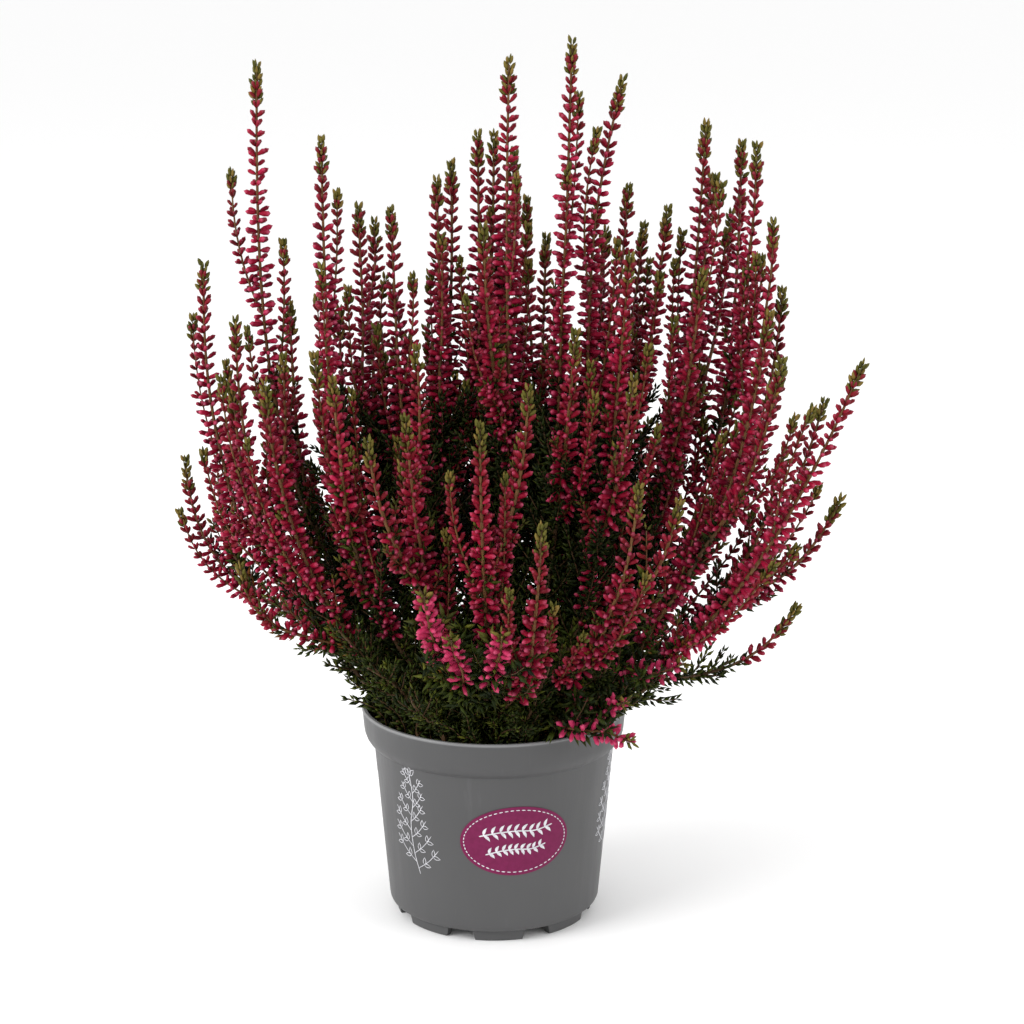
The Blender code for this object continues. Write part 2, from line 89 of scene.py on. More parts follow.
cameraData = bpy.data.cameras.new("photoCamera")
cameraData.lens = cameraSetup["lens"]
cameraData.sensor_width = 36.0
cameraData.clip_end = 100.0
camera = bpy.data.objects.new("photoCamera", cameraData)
camera.location = (cameraSetup["across"], cameraSetup["back"], cameraSetup["high"])
camera.rotation_euler = (math.pi / 2 - cameraSetup["pitchDown"], 0.0, 0.0)
scene.collection.objects.link(camera)
scene.camera = camera

world = bpy.data.worlds.new("studioWorld")
world.use_nodes = True
world.node_tree.nodes["Background"].inputs["Color"].default_value = (1.0, 1.0, 1.0, 1.0)
world.node_tree.nodes["Background"].inputs["Strength"].default_value = studio["world"]
scene.world = world
scene.view_settings.view_transform = "Standard"


def softLight(name, place, aimHigh, size, power):
    data = bpy.data.lights.new(name, "AREA")
    data.shape = "DISK"
    data.size = size
    data.energy = power
    light = bpy.data.objects.new(name, data)
    light.location = place
    light.rotation_euler = (Vector((0.0, 0.0, aimHigh)) - Vector(place)).to_track_quat("-Z", "Y").to_euler()
    scene.collection.objects.link(light)


for light in studioLights:
    softLight(**light)


# Small helpers for meshes and materials.

def meshObject(name, vertices, faces):
    mesh = bpy.data.meshes.new(name)
    mesh.from_pydata(vertices, [], faces)
    mesh.update()
    made = bpy.data.objects.new(name, mesh)
    scene.collection.objects.link(made)
    return made


def bakeModifiers(target):
    bpy.context.view_layer.update()
    graph = bpy.context.evaluated_depsgraph_get()
    mesh = bpy.data.meshes.new_from_object(target.evaluated_get(graph), depsgraph=graph)
    target.modifiers.clear()
    target.data = mesh
    mesh.name = target.name


def tidyNormals(target, weld=0.000002):
    work = bmesh.new()
    work.from_mesh(target.data)
    if weld > 0.0:
        bmesh.ops.remove_doubles(work, verts=work.verts, dist=weld)
    bmesh.ops.recalc_face_normals(work, faces=work.faces)
    work.to_mesh(target.data)
    work.free()
    target.data.update()


def shadeSmooth(target):
    target.data.polygons.foreach_set("use_smooth", [True] * len(target.data.polygons))
    target.data.update()


# One number for each point of a mesh.
def writeField(mesh, name, values):
    mesh.attributes.new(name, "FLOAT", "POINT").data.foreach_set("value", values)


# What wiring a material and wiring a node tree have in common.
class Wiring:
    def add(self, kind, feeds=None, **settings):
        node = self.nodes.new(kind)
        for key, value in settings.items():
            setattr(node, key, value)
        for key, value in (feeds or {}).items():
            self.feed(node.inputs[key], value)
        return node

    def feed(self, socket, value):
        if isinstance(value, bpy.types.NodeSocket):
            self.links.new(value, socket)
        else:
            socket.default_value = value

    def math(self, operation, first, second=0.0):
        return self.add("ShaderNodeMath", {0: first, 1: second}, operation=operation).outputs[0]

    def plus(self, first, second):
        return self.math("ADD", first, second)

    def times(self, first, second):
        return self.math("MULTIPLY", first, second)

    def span(self, value, low, high, newLow, newHigh):
        feeds = {"Value": value, "From Min": low, "From Max": high, "To Min": newLow, "To Max": newHigh}
        return self.add("ShaderNodeMapRange", feeds).outputs["Result"]


# A material, with the nodes that its finish needs.
class Finish(Wiring):
    def __init__(self, name):
        self.material = bpy.data.materials.new(name)
        self.material.use_nodes = True
        self.nodes = self.material.node_tree.nodes
        self.links = self.material.node_tree.links
        self.shader = self.nodes["Principled BSDF"]

    def attribute(self, name):
        return self.add("ShaderNodeAttribute", attribute_name=name).outputs["Fac"]

    def objectPlace(self, scale=(1.0, 1.0, 1.0)):
        place = self.add("ShaderNodeTexCoord").outputs["Object"]
        return self.add("ShaderNodeMapping", {"Vector": place, "Scale": scale}).outputs["Vector"]

    def noise(self, vector, scale, detail=3.0, roughness=0.5):
        feeds = {"Vector": vector, "Scale": scale, "Detail": detail, "Roughness": roughness}
        return self.add("ShaderNodeTexNoise", feeds).outputs["Fac"]

    def blend(self, amount, first, second):
        node = self.add("ShaderNodeMix", {"Factor": amount}, data_type="RGBA")
        for socket, value in ((node.inputs[6], first), (node.inputs[7], second)):
            self.feed(socket, value if isinstance(value, bpy.types.NodeSocket) else (*value, 1.0))
        return node.outputs[2]

    def ramp(self, value, stops):
        node = self.add("ShaderNodeValToRGB", {"Fac": value})
        elements = node.color_ramp.elements
        while len(elements) < len(stops):
            elements.new(0.5)
        for element, (place, color) in zip(elements, stops):
            element.position = place
            element.color = (*color, 1.0)
        return node.outputs["Color"]

    def bump(self, height, strength, distance):
        feeds = {"Height": height, "Strength": strength, "Distance": distance}
        self.set(Normal=self.add("ShaderNodeBump", feeds).outputs["Normal"])

    def set(self, **values):
        for key, value in values.items():
            self.feed(self.shader.inputs[key.replace("_", " ")], value)


far = studio["floorReach"]
floorCorners = [(-far, -far, 0), (far, -far, 0), (far, far, 0), (-far, far, 0)]
floorMesh = meshObject("studioFloor", floorCorners, [(0, 1, 2, 3)])
floorFinish = Finish("paleFloor")
floorFinish.set(Base_Color=studio["floorColour"], Roughness=0.9)
floorMesh.data.materials.append(floorFinish.material)
floorMesh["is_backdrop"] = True


# Finishes. A list of colours is a ramp, each with its place on it.
budColours = {
    "body": [(0.0, (0.050, 0.0008, 0.0040)), (0.35, (0.140, 0.0020, 0.0100)),
             (0.72, (0.275, 0.0045, 0.0220)), (1.0, (0.440, 0.0170, 0.0680))],
    # "mouth" is partly the buds' own paler tips and partly a painted highlight.
    "old": (0.44, 0.024, 0.105), "pinkSpray": (0.48, 0.075, 0.200), "mouth": (0.70, 0.130, 0.240),
    "young": (0.115, 0.016, 0.013), "foot": (0.060, 0.030, 0.008), "mottle": (0.14, 0.003, 0.015),
}


def makeBudFinish():
    finish = Finish("heatherBud")
    along = finish.attribute("along")  # from 0 at the bud's foot to 1 at its mouth
    gone = finish.attribute("gone")  # millimetres from the tip of its stem
    tone = finish.attribute("tone")  # one for each stem, above 1 on the pink sprays
    shade = finish.plus(finish.times(finish.attribute("shade"), 0.62), finish.times(tone, 0.34))
    colour = finish.ramp(shade, budColours["body"])
    age = finish.times(finish.span(gone, 10.0, 150.0, 0.0, 1.0), 0.18)
    colour = finish.blend(age, colour, budColours["old"])
    colour = finish.blend(finish.span(tone, 1.0, 1.3, 0.0, 0.20), colour, budColours["pinkSpray"])
    # Paler pink towards each bud's mouth: partly the bud's own lighter tip, partly a painted highlight.
    colour = finish.blend(finish.span(along, 0.74, 1.0, 0.0, 0.60), colour, budColours["mouth"])
    young = finish.times(finish.span(gone, 8.0, 46.0, 0.70, 0.0), finish.span(tone, 1.0, 1.01, 1.0, 0.0))
    colour = finish.blend(young, colour, budColours["young"])
    colour = finish.blend(finish.span(along, 0.0, 0.25, 0.80, 0.0), colour, budColours["foot"])
    mottled = finish.noise(finish.objectPlace(), 900.0, 2.0)
    colour = finish.blend(finish.span(mottled, 0.35, 0.7, 0.0, 0.35), colour, budColours["mottle"])
    rough = finish.span(mottled, 0.3, 0.7, 0.30, 0.46)
    finish.set(Base_Color=colour, Roughness=rough, Specular_IOR_Level=0.07)
    finish.bump(mottled, 0.25, 0.0002)
    return finish.material


leafColours = {
    # The dark end of the green ramp is also painted shade for the twigs deep in the middle.
    "green": [(0.0, (0.003, 0.006, 0.0010)), (0.40, (0.010, 0.017, 0.0020)),
              (0.72, (0.034, 0.048, 0.005)), (1.0, (0.120, 0.122, 0.014))],
    "growingTip": [(0.0, (0.050, 0.050, 0.008)), (0.5, (0.100, 0.090, 0.016)), (1.0, (0.180, 0.115, 0.028))],
    # "point" is a painted highlight: yellow-green on the leaves' points.
    "rusty": (0.170, 0.048, 0.012), "point": (0.22, 0.20, 0.05),
}


def makeLeafFinish():
    finish = Finish("heatherLeaf")
    shade = finish.attribute("shade")
    tone = finish.math("FRACT", finish.attribute("tone"))
    # Deep middle twigs have tone 0, so their leaves are painted darkest as painted shade.
    mixed = finish.plus(finish.times(shade, 0.55), finish.times(tone, 0.45))
    green = finish.ramp(mixed, leafColours["green"])
    green = finish.blend(finish.span(tone, 0.974, 0.976, 0.0, 0.7), green, leafColours["rusty"])
    growing = finish.ramp(shade, leafColours["growingTip"])
    colour = finish.blend(finish.span(finish.attribute("tipZone"), 0.2, 0.8, 0.0, 1.0), green, growing)
    # Painted highlight: the outer part of each leaf is blended a little towards yellow-green.
    pointed = finish.span(finish.attribute("along"), 0.7, 1.0, 0.0, 0.20)
    colour = finish.blend(pointed, colour, leafColours["point"])
    veined = finish.noise(finish.objectPlace(), 700.0, 2.0)
    rough = finish.span(veined, 0.3, 0.7, 0.42, 0.60)
    finish.set(Base_Color=colour, Roughness=rough, Specular_IOR_Level=0.09)
    finish.bump(veined, 0.2, 0.0002)
    return finish.material


stemColours = {
    "bark": [(0.3, (0.040, 0.020, 0.009)), (0.55, (0.085, 0.045, 0.019)), (0.8, (0.150, 0.085, 0.040))],
    "fresh": [(0.3, (0.090, 0.026, 0.010)), (0.55, (0.125, 0.060, 0.018)), (0.8, (0.180, 0.110, 0.040))],
}


def makeStemFinish():
    finish = Finish("heatherStem")
    grain = finish.noise(finish.objectPlace((1.0, 1.0, 0.25)), 900.0, 4.0, 0.65)
    bark, fresh = (finish.ramp(grain, stemColours[name]) for name in ("bark", "fresh"))
    colour = finish.blend(finish.attribute("budZone"), bark, fresh)
    finish.set(Base_Color=colour, Roughness=0.62, Specular_IOR_Level=0.25)
    finish.bump(grain, 0.5, 0.0003)
    return finish.material


# "lip" is a painted highlight: lighter grey along the top of the rim.
potColours = {"grey": [(0.3, (0.064, 0.064, 0.0652)), (0.7, (0.076, 0.076, 0.0772))],
              "lip": (0.22, 0.22, 0.223), "scuff": (0.14, 0.14, 0.1425)}


def makePotFinish():
    finish = Finish("mouldedPlastic")
    place = finish.objectPlace()
    scuffed = finish.noise(finish.objectPlace((1.0, 1.0, 0.12)), 160.0, 4.0, 0.7)
    colour = finish.ramp(finish.noise(place, 14.0, 3.0), potColours["grey"])
    # Painted highlight: the top band of the rim is blended to a lighter grey.
    colour = finish.blend(finish.attribute("lip"), colour, potColours["lip"])
    colour = finish.blend(finish.span(scuffed, 0.62, 0.75, 0.0, 0.16), colour, potColours["scuff"])
    rough = finish.span(scuffed, 0.3, 0.75, 0.40, 0.56)
    finish.set(Base_Color=colour, Roughness=rough, Specular_IOR_Level=0.32)
    finish.bump(finish.noise(place, 1400.0, 2.0), 0.10, 0.0002)
    return finish.material


soilColours = {
    "peat": [(0.25, (0.006, 0.004, 0.003)), (0.55, (0.020, 0.013, 0.008)), (0.85, (0.060, 0.040, 0.024))],
    "fibre": (0.12, 0.075, 0.036),
}


def makeSoilFinish():
    finish = Finish("peatCompost")
    lumps = finish.noise(finish.objectPlace(), 260.0, 6.0, 0.7)
    fibres = finish.noise(finish.objectPlace((1.0, 0.3, 1.0)), 900.0, 3.0, 0.6)
    peat = finish.ramp(lumps, soilColours["peat"])
    colour = finish.blend(finish.span(fibres, 0.6, 0.72, 0.0, 0.5), peat, soilColours["fibre"])
    finish.set(Base_Color=colour, Roughness=0.95)
    finish.bump(lumps, 0.8, 0.0012)
    return finish.material


# The magenta of the label and the white of the ink differ only in these.
printColours = {
    "magentaPrint": {"speck": 420.0, "specular": 0.2,
                     "ramp": [(0.3, (0.132, 0.0065, 0.049)), (0.7, (0.160, 0.0090, 0.061))]},
    "whitePrint": {"speck": 600.0, "specular": 0.5,
                   "ramp": [(0.3, (0.46, 0.46, 0.49)), (0.65, (0.66, 0.66, 0.69))]},
}


def makePrintFinish(name):
    finish = Finish(name)
    ink = printColours[name]
    speck = finish.noise(finish.objectPlace(), ink["speck"], 3.0)
    colour = finish.ramp(speck, ink["ramp"])
    finish.set(Base_Color=colour, Roughness=0.5, Specular_IOR_Level=ink["specular"])
    return finish.material


budFinish = makeBudFinish()
leafFinish = makeLeafFinish()
stemFinish = makeStemFinish()
potFinish = makePotFinish()
soilFinish = makeSoilFinish()
labelFinish = makePrintFinish("magentaPrint")
whiteInk = makePrintFinish("whitePrint")
print("finishes made")


# Where the stems go: the same rule and sizes as in the part's source, in millimetres.
stemPlan = {
    "soilTop": 90.5, "soilDome": 3.0, "domeReach": 57.0, "rootGap": 10.5, "rootReach": 44.0, "samples": 30,
    "clearGap": 1.3, "stemRadius": 1.25, "budReach": 6.2, "leafReach": 4.4, "tipReach": 2.3, "greenTip": 13.0,
    "shootReach": 5.6, "footPull": 0.36, "tipPull": 0.55, "mainFlower": 165.0, "sideFlower": 118.0,
    "potHeight": 97.7, "rimInside": 55.8, "rimOutside": 60.0, "backSprays": 8,
    "backReaches": [66.0, 100.0, 118.0], "shoots": 13, "shootCircle": 50.5, "bendRounds": 120,
    "curvePoints": 90, "spraySeed": 21, "shootSeed": 3,
}
firstShoot = 1000  # sprays with this number or a higher one are green shoots
# Tips of the flowering sprays in front: across, deep, high, and the lean from upright in degrees.
sprayTips = [
    [(-102, 10, 381, -2), (-92, 30, 274, 2)],
    [(-128, 15, 294, -3), (-116, 8, 240, 4)],
    [(-148, 84, 190, 4), (-124, 76, 228, 4)],
    [(-112, -10, 273, 0), (-91, -16, 258, 2)],
    [(-74, 0, 350, 0), (-70, 40, 270, 2)],
    [(-60, 25, 318, 2), (-54, 44, 309, 2)],
    [(-45, 15, 318, 2), (-32, -45, 267, 6)],
    [(-25, 18, 331, 2), (-19, 36, 336, 2)],
    [(-7, 27, 350, 3), (0, 47, 348, 4), (9, 38, 342, 5)],
    [(7, 12, 383, 3), (-4, -18, 315, 5)],
    [(15, 60, 317, 4), (24, 72, 298, 6)],
    [(34, 5, 392, 2), (35, -35, 272, 6)],
    [(56, 15, 375, 14)],
    [(51, 55, 304, 5), (68, 52, 306, 6)],
    [(60, 33, 326, 5), (77, 24, 317, 6)],
    [(93, 18, 355, 3), (90, -17, 295, 6)],
    [(97, 37, 330, 4), (108, 53, 312, 4)],
    [(110, 32, 345, 0), (114, 3, 347, 0)],
    [(121, -2, 315, 2), (128, 16, 282, 3)],
    [(151, -78, 266, 22)],
    [(146, 2, 235, 14), (128, -12, 216, 14), (150, -32, 199, 24)],
    [(134, -12, 144, 30)],
    [(82, -46, 131, 62)],
    [(56, -66, 119, 62), (58, -78, 106, 84)],
    [(-36, -65, 241, 8), (-51, -80, 235, 10)],
    [(-5, -82, 242, 8), (15, -60, 253, 6)],
    [(20, -117, 208, 12)],
    [(59, -15, 302, 5), (59, -58, 257, 8)],
    [(60, -94, 219, 10), (77, -84, 210, 14)],
    [(118, -30, 279, 8), (120, -62, 265, 10)],
    [(-17, -97, 156, 40), (4, -101, 159, 30), (-28, -94, 174, 20)],
    [(-77, -20, 259, 5), (-68, -42, 253, 6)],
    [(-98, -27, 249, 5), (-111, -24, 166, 8)],
]
upright = np.array([0.0, 0.0, 1.0])


def unit(vector):
    return vector / max(1e-9, float(np.linalg.norm(vector)))


def bezier(points, count):
    t = np.linspace(0.0, 1.0, count)[:, None]
    a, b, c, d = points
    return (1 - t) ** 3 * a + 3 * (1 - t) ** 2 * t * b + 3 * (1 - t) * t * t * c + t ** 3 * d


def measured(path):
    step = np.linalg.norm(np.diff(path, axis=0), axis=1)
    along = np.concatenate([[0.0], np.cumsum(step)])
    return along, float(along[-1])


def even(path, count):
    along, whole = measured(path)
    wanted = np.linspace(0.0, whole, count)
    return np.stack([np.interp(wanted, along, path[:, k]) for k in range(3)], axis=1)


# The sprays in front, and the ones behind in an even fan with three tips each.
def planSprays():
    rng = random.Random(stemPlan["spraySeed"])
    sprays = [list(tips) for tips in sprayTips]
    for k in range(stemPlan["backSprays"]):
        angle = math.radians(14.0 + 152.0 * (k + 0.5) / stemPlan["backSprays"])
        reach = stemPlan["backReaches"][(2 * k) % 3]
        high = 322.0 - 0.78 * reach + rng.uniform(-8.0, 8.0)
        tips = []
        for side in (0, 1, -1):
            turn = angle + side * 17.0 / reach
            out = reach - abs(side) * rng.uniform(2.0, 12.0)
            drop = abs(side) * rng.uniform(16.0, 34.0)
            tips.append((out * math.cos(turn), out * math.sin(turn), high - drop, 6.0 + 20.0 * reach / 120.0))
        sprays.append(tips)
    return sprays


# Feet of the stems, pushed apart to the gap and kept within reach of the middle.
def spreadRoots(wanted, gap, reach):
    feet = np.array(wanted, dtype=float)
    for _ in range(200):
        away = feet[:, None, :] - feet[None, :, :]
        far = np.linalg.norm(away, axis=2) + 1e-9
        push = np.clip(gap - far, 0.0, None)
        np.fill_diagonal(push, 0.0)
        feet += 0.25 * (away / far[:, :, None] * push[:, :, None]).sum(axis=1)
        out = np.linalg.norm(feet, axis=1)
        feet *= np.where(out > reach, reach / np.maximum(out, 1e-9), 1.0)[:, None]
    return feet


def soilHeight(out):
    return stemPlan["soilTop"] + stemPlan["soilDome"] * (1.0 - min(1.0, out / stemPlan["domeReach"]) ** 2)


# A curve from a foot that leaves along start and comes to its tip at the tip's lean.
def stemToward(foot, start, tip, lean):
    tipPoint = np.array(tip[:3], dtype=float)
    out = unit(np.array([tipPoint[0], tipPoint[1], 0.0]))
    heading = out * math.sin(math.radians(lean)) + upright * math.cos(math.radians(lean))
    span = float(np.linalg.norm(tipPoint - foot))
    lowPull = foot + start * stemPlan["footPull"] * span
    highPull = tipPoint - heading * stemPlan["tipPull"] * span
    return bezier((foot, lowPull, highPull, tipPoint), stemPlan["curvePoints"])


def planStems():
    samples = stemPlan["samples"]
    sprays = planSprays()
    wanted = []
    for tips in sprays:
        out = math.hypot(tips[0][0], tips[0][1])
        share = (9.0 + 36.0 * min(1.0, out / 150.0)) / max(out, 1.0)
        wanted.append((tips[0][0] * share, tips[0][1] * share))
    feet = spreadRoots(wanted, stemPlan["rootGap"], stemPlan["rootReach"])
    stems = []
    for spray, tips in enumerate(sprays):
        foot = np.array([feet[spray][0], feet[spray][1], 0.0])
        foot[2] = soilHeight(math.hypot(foot[0], foot[1]))
        out = unit(np.array([tips[0][0], tips[0][1], 0.0]))
        low = min(1.0, max(0.0, (230.0 - tips[0][2]) / 120.0))
        spread = math.hypot(tips[0][0], tips[0][1]) / 150.0
        start = unit(upright + out * (0.06 + 0.90 * spread * (1.0 - low) + 0.20 * low))
        main = even(stemToward(foot, start, tips[0], tips[0][3]), samples)
        parent = len(stems)
        stems.append({"spray": spray, "parent": -1, "fork": 0, "path": main,
                      "flower": min(stemPlan["mainFlower"], 0.66 * measured(main)[1])})
        for tip in tips[1:]:
            top = min(tips[0][2], tip[2])
            forkHeight = foot[2] + max(9.0, 0.42 * (top - foot[2]) - 6.0)
            above = np.nonzero(main[:, 2] >= forkHeight)[0]
            fork = int(above[0]) if len(above) else samples // 3
            fork = min(max(fork, 3), samples - 8)
            tangent = unit(main[fork + 1] - main[fork - 1])
            toward = unit(np.array(tip[:3]) - main[fork])
            side = even(stemToward(main[fork], unit(tangent + 0.7 * toward), tip, tip[3]), samples)
            stems.append({"spray": spray, "parent": parent, "fork": fork, "path": side,
                          "flower": min(stemPlan["sideFlower"], 0.72 * measured(side)[1])})
    return stems


def planShoots(stems):
    rng = random.Random(stemPlan["shootSeed"])
    circle = stemPlan["shootCircle"]
    feet = [stem["path"][0] for stem in stems if stem["parent"] < 0]
    shoots = []
    for k in range(stemPlan["shoots"]):
        best = None
        for turn in np.linspace(-0.20, 0.20, 9):
            angle = math.tau * (k + 0.5) / stemPlan["shoots"] + turn - math.pi / 2.0
            place = (circle * math.cos(angle), circle * math.sin(angle))
            room = min(math.hypot(place[0] - f[0], place[1] - f[1]) for f in feet)
            if best is None or room > best[0]:
                best = (room, angle, place)
        angle, place = best[1], best[2]
        foot = np.array([place[0], place[1], soilHeight(circle)])
        reach = rng.uniform(68.0, 84.0)
        high = rng.uniform(122.0, 146.0)
        tip = (reach * math.cos(angle), reach * math.sin(angle), high, rng.uniform(30.0, 60.0))
        path = even(stemToward(foot, upright, tip, tip[3]), stemPlan["samples"])
        shoots.append({"spray": firstShoot + k, "parent": -1, "fork": 0, "path": path, "flower": 0.0})
    return shoots


# How much room each point of a stem needs round it.
def sampleRadii(stem):
    samples = stemPlan["samples"]
    left = np.linspace(measured(stem["path"])[1], 0.0, samples)
    radii = np.full(samples, stemPlan["leafReach"] + 0.4)
    radii[left < stem["flower"]] = stemPlan["budReach"] + 0.3
    radii[left < stemPlan["greenTip"]] = stemPlan["tipReach"] + 0.8
    if stem["spray"] >= firstShoot:
        radii[:] = stemPlan["shootReach"]
        radii[left < 8.0] = 2.8
    if stem["parent"] < 0:
        radii[0] = stemPlan["stemRadius"]
        radii[1] = min(radii[1], 2.4)
    return radii


# Push the stems of different sprays apart, and off the pot's rim, a little at a time.
def bendClear(stems, rounds):
    samples = stemPlan["samples"]
    paths = np.stack([stem["path"] for stem in stems])
    radii = np.stack([sampleRadii(stem) for stem in stems])
    count = len(stems)
    owner = np.repeat(np.arange(count), samples)
    spray = np.array([stem["spray"] for stem in stems])[owner]
    index = np.tile(np.arange(samples), count)
    children = [(k, stem["parent"], stem["fork"]) for k, stem in enumerate(stems) if stem["parent"] >= 0]
    fade = np.linspace(1.0, 0.0, samples)[:, None] ** 1.5
    other = spray[:, None] != spray[None, :]
    same = (spray[:, None] == spray[None, :]) & (owner[:, None] != owner[None, :])
    same &= (index[:, None] > 9) & (index[None, :] > 9)
    reach = radii.reshape(-1)
    need = reach[:, None] + reach[None, :] + stemPlan["clearGap"]
    need = np.where(same, 0.75 * need, need)
    first, second = np.nonzero(np.triu(other | same))
    need = need[first, second]
    free = np.ones((count, samples))
    free[:, 0] = 0.0
    free[:, 1] = 0.3
    free[:, -4:] = 0.6
    for number in range(rounds):
        points = paths.reshape(-1, 3)
        if number % 12 == 0:
            gaps = np.linalg.norm(points[first] - points[second], axis=1)
            near = gaps < need + 12.0
            one, two, wanted = first[near], second[near], need[near]
        away = points[one] - points[two]
        far = np.linalg.norm(away, axis=1) + 1e-9
        push = away * (0.28 * np.clip(wanted - far, 0.0, None) / far)[:, None]
        move = np.zeros_like(points)
        for axis in range(3):
            move[:, axis] = (np.bincount(one, push[:, axis], len(points))
                             - np.bincount(two, push[:, axis], len(points)))
        move = np.clip(move, -2.0, 2.0).reshape(count, samples, 3)
        out = np.linalg.norm(paths[:, :, :2], axis=2)
        rim = (paths[:, :, 2] < stemPlan["potHeight"] + radii + 1.2) & (out > stemPlan["rimInside"] - radii)
        outside = rim & (out > stemPlan["rimOutside"])
        inside = rim & ~outside
        move[:, :, 2] += np.where(outside, 0.8, 0.0)
        inward = -paths[:, :, :2] / out[:, :, None]
        pressed = np.where(inside, np.clip(out - stemPlan["rimInside"] + radii, 0.0, 1.2), 0.0)
        move[:, :, :2] += pressed[:, :, None] * inward
        move[:, :, 2] += np.where(inside & (out > 52.0), 0.5, 0.0)
        move *= free[:, :, None]
        for _ in range(2):
            inner = 0.5 * move[:, 1:-1] + 0.25 * (move[:, :-2] + move[:, 2:])
            move[:, 1:-1] = inner
        for k, parent, fork in children:
            move[k] += fade * (move[parent, fork] - move[k, 0])
        paths = paths + move
    for k, stem in enumerate(stems):
        stem["path"] = even(paths[k], samples)
        stem["path"][0] = paths[k][0]


stems = planStems()
stems = stems + planShoots(stems)
bendClear(stems, stemPlan["bendRounds"])
print("stems planned:", len(stems))


# Small twigs that fork from the stems. A twig is a short path with its length in bud.
pinkSprays = (22, 23, 30)
shortHeads = (21, 22, 23, 30)  # the low branches with buds only near their tips
goldenTurn = 2.399
twigPlan = {
    "seed": 5, "greenTop": 138.0, "blur": 10.0, "flowerShare": 0.76, "flowerMore": 1.14, "potReach": 53.0,
    "overRim": 101.5, "intoFlower": 28.0, "girth": 0.45, "headLength": 36.0, "middleReach": 72.0,
    "middleTop": 225.0, "greenStep": 4.6, "greenLength": (14.0, 27.0), "budStep": 13.0,
    "budLength": (16.0, 30.0), "shootStep": 3.2, "shootLength": (10.0, 19.0), "middleStep": 4.0,
    "middleLength": (22.0, 40.0), "sprigs": 150, "sprigReach": 53.0, "sprigHigh": (13.0, 27.0),
    "spikeEvery": 56.0, "spikeLength": (48.0, 96.0), "spikeAside": (8.5, 14.0), "spikeGirth": 0.62,
    "spikeStartRoom": 78.0, "spikeTipRoom": 24.0, "spikeBareTip": 5.0,
}


def pathPoint(path, along, distance):
    return np.array([np.interp(distance, along, path[:, k]) for k in range(3)])


# A twig that leaves its stem at a tilt, to the side that azimuth gives, and turns up.
def twigFrom(base, tangent, outward, azimuth, tilt, length, rng):
    across = unit(np.cross(tangent, outward + 0.001))
    third = np.cross(across, tangent)
    side = unit(math.cos(azimuth) * third + math.sin(azimuth) * across)
    heading = unit(tangent * math.cos(tilt) + side * math.sin(tilt))
    rise = upright * rng.uniform(0.18, 0.42) * length
    return bezier((base, base + heading * 0.35 * length, base + heading * 0.62 * length + rise * 0.4,
                   base + heading * 0.85 * length + rise), 6)


# Whether a path keeps inside the pot or passes over its rim, and stays out of the compost.
def clearOfPot(path):
    out = np.linalg.norm(path[:, :2], axis=1)
    inside = out < twigPlan["potReach"]
    over = path[:, 2] > twigPlan["overRim"]
    return bool(np.all(inside | over) and np.all(path[:, 2] > soilHeight(0.0) - 3.0))


# Short leafy sprigs from the compost, closest together near the pot's rim.
def planSprigs():
    rng = random.Random(twigPlan["seed"] + 2)
    sprigs = []
    for k in range(twigPlan["sprigs"]):
        turn = k * goldenTurn + rng.uniform(-0.2, 0.2)
        out = rng.uniform(0.52, 1.0) ** 0.6 * twigPlan["sprigReach"]
        foot = np.array([out * math.cos(turn), out * math.sin(turn), soilHeight(out) - 1.0])
        aside = turn + rng.uniform(-0.9, 0.9)
        lean = rng.uniform(0.1, 0.5) + 0.35 * out / twigPlan["sprigReach"]
        high = rng.uniform(*twigPlan["sprigHigh"])
        heading = np.array([math.sin(lean) * math.cos(aside), math.sin(lean) * math.sin(aside),
                            math.cos(lean)])
        bend = foot + np.array([0.0, 0.0, 0.5 * high])
        path = bezier((foot, 0.5 * (foot + bend), bend, foot + high * heading), 7)
        sprigs.append({"spray": firstShoot + k % stemPlan["shoots"], "path": path, "flower": 0.0,
                       "girth": twigPlan["girth"]})
    return sprigs


# A flowering side spike that leaves its stem and then runs beside it.
def sideSpike(stem, along, length, start, reach, azimuth, aside):
    points = []
    for t in np.linspace(0.0, 1.0, 14):
        distance = min(length, start + reach * t)
        center = pathPoint(stem["path"], along, distance)
        tangent = unit(pathPoint(stem["path"], along, min(length, distance + 2.0))
                       - pathPoint(stem["path"], along, distance - 2.0))
        across = unit(np.cross(tangent, np.array([0.31, 0.94, 0.12])))
        third = np.cross(tangent, across)
        away = math.cos(azimuth) * across + math.sin(azimuth) * third
        points.append(center + away * aside * (1.0 - (1.0 - t) ** 2.2))
    return np.array(points)


def planSpikes():
    rng = random.Random(twigPlan["seed"] + 1)
    spikes = []
    for stem in stems:
        if stem["spray"] >= firstShoot or stem["spray"] in shortHeads:
            continue
        along, length = measured(stem["path"])
        azimuth = rng.uniform(0.0, math.tau)
        low = length - min(0.80 * length, 1.15 * stem["flower"])
        start = low + rng.uniform(-12.0, 8.0)
        while start < length - twigPlan["spikeStartRoom"]:
            reach = min(rng.uniform(*twigPlan["spikeLength"]), length - start - twigPlan["spikeTipRoom"])
            azimuth += goldenTurn + rng.uniform(-0.5, 0.5)
            path = sideSpike(stem, along, length, max(start, 6.0), reach, azimuth,
                             rng.uniform(*twigPlan["spikeAside"]))
            if clearOfPot(path):
                spikes.append({"spray": stem["spray"], "path": path, "girth": twigPlan["spikeGirth"],
                               "flower": reach - twigPlan["spikeBareTip"]})
            start += twigPlan["spikeEvery"] * rng.uniform(0.4, 0.8)
    return spikes


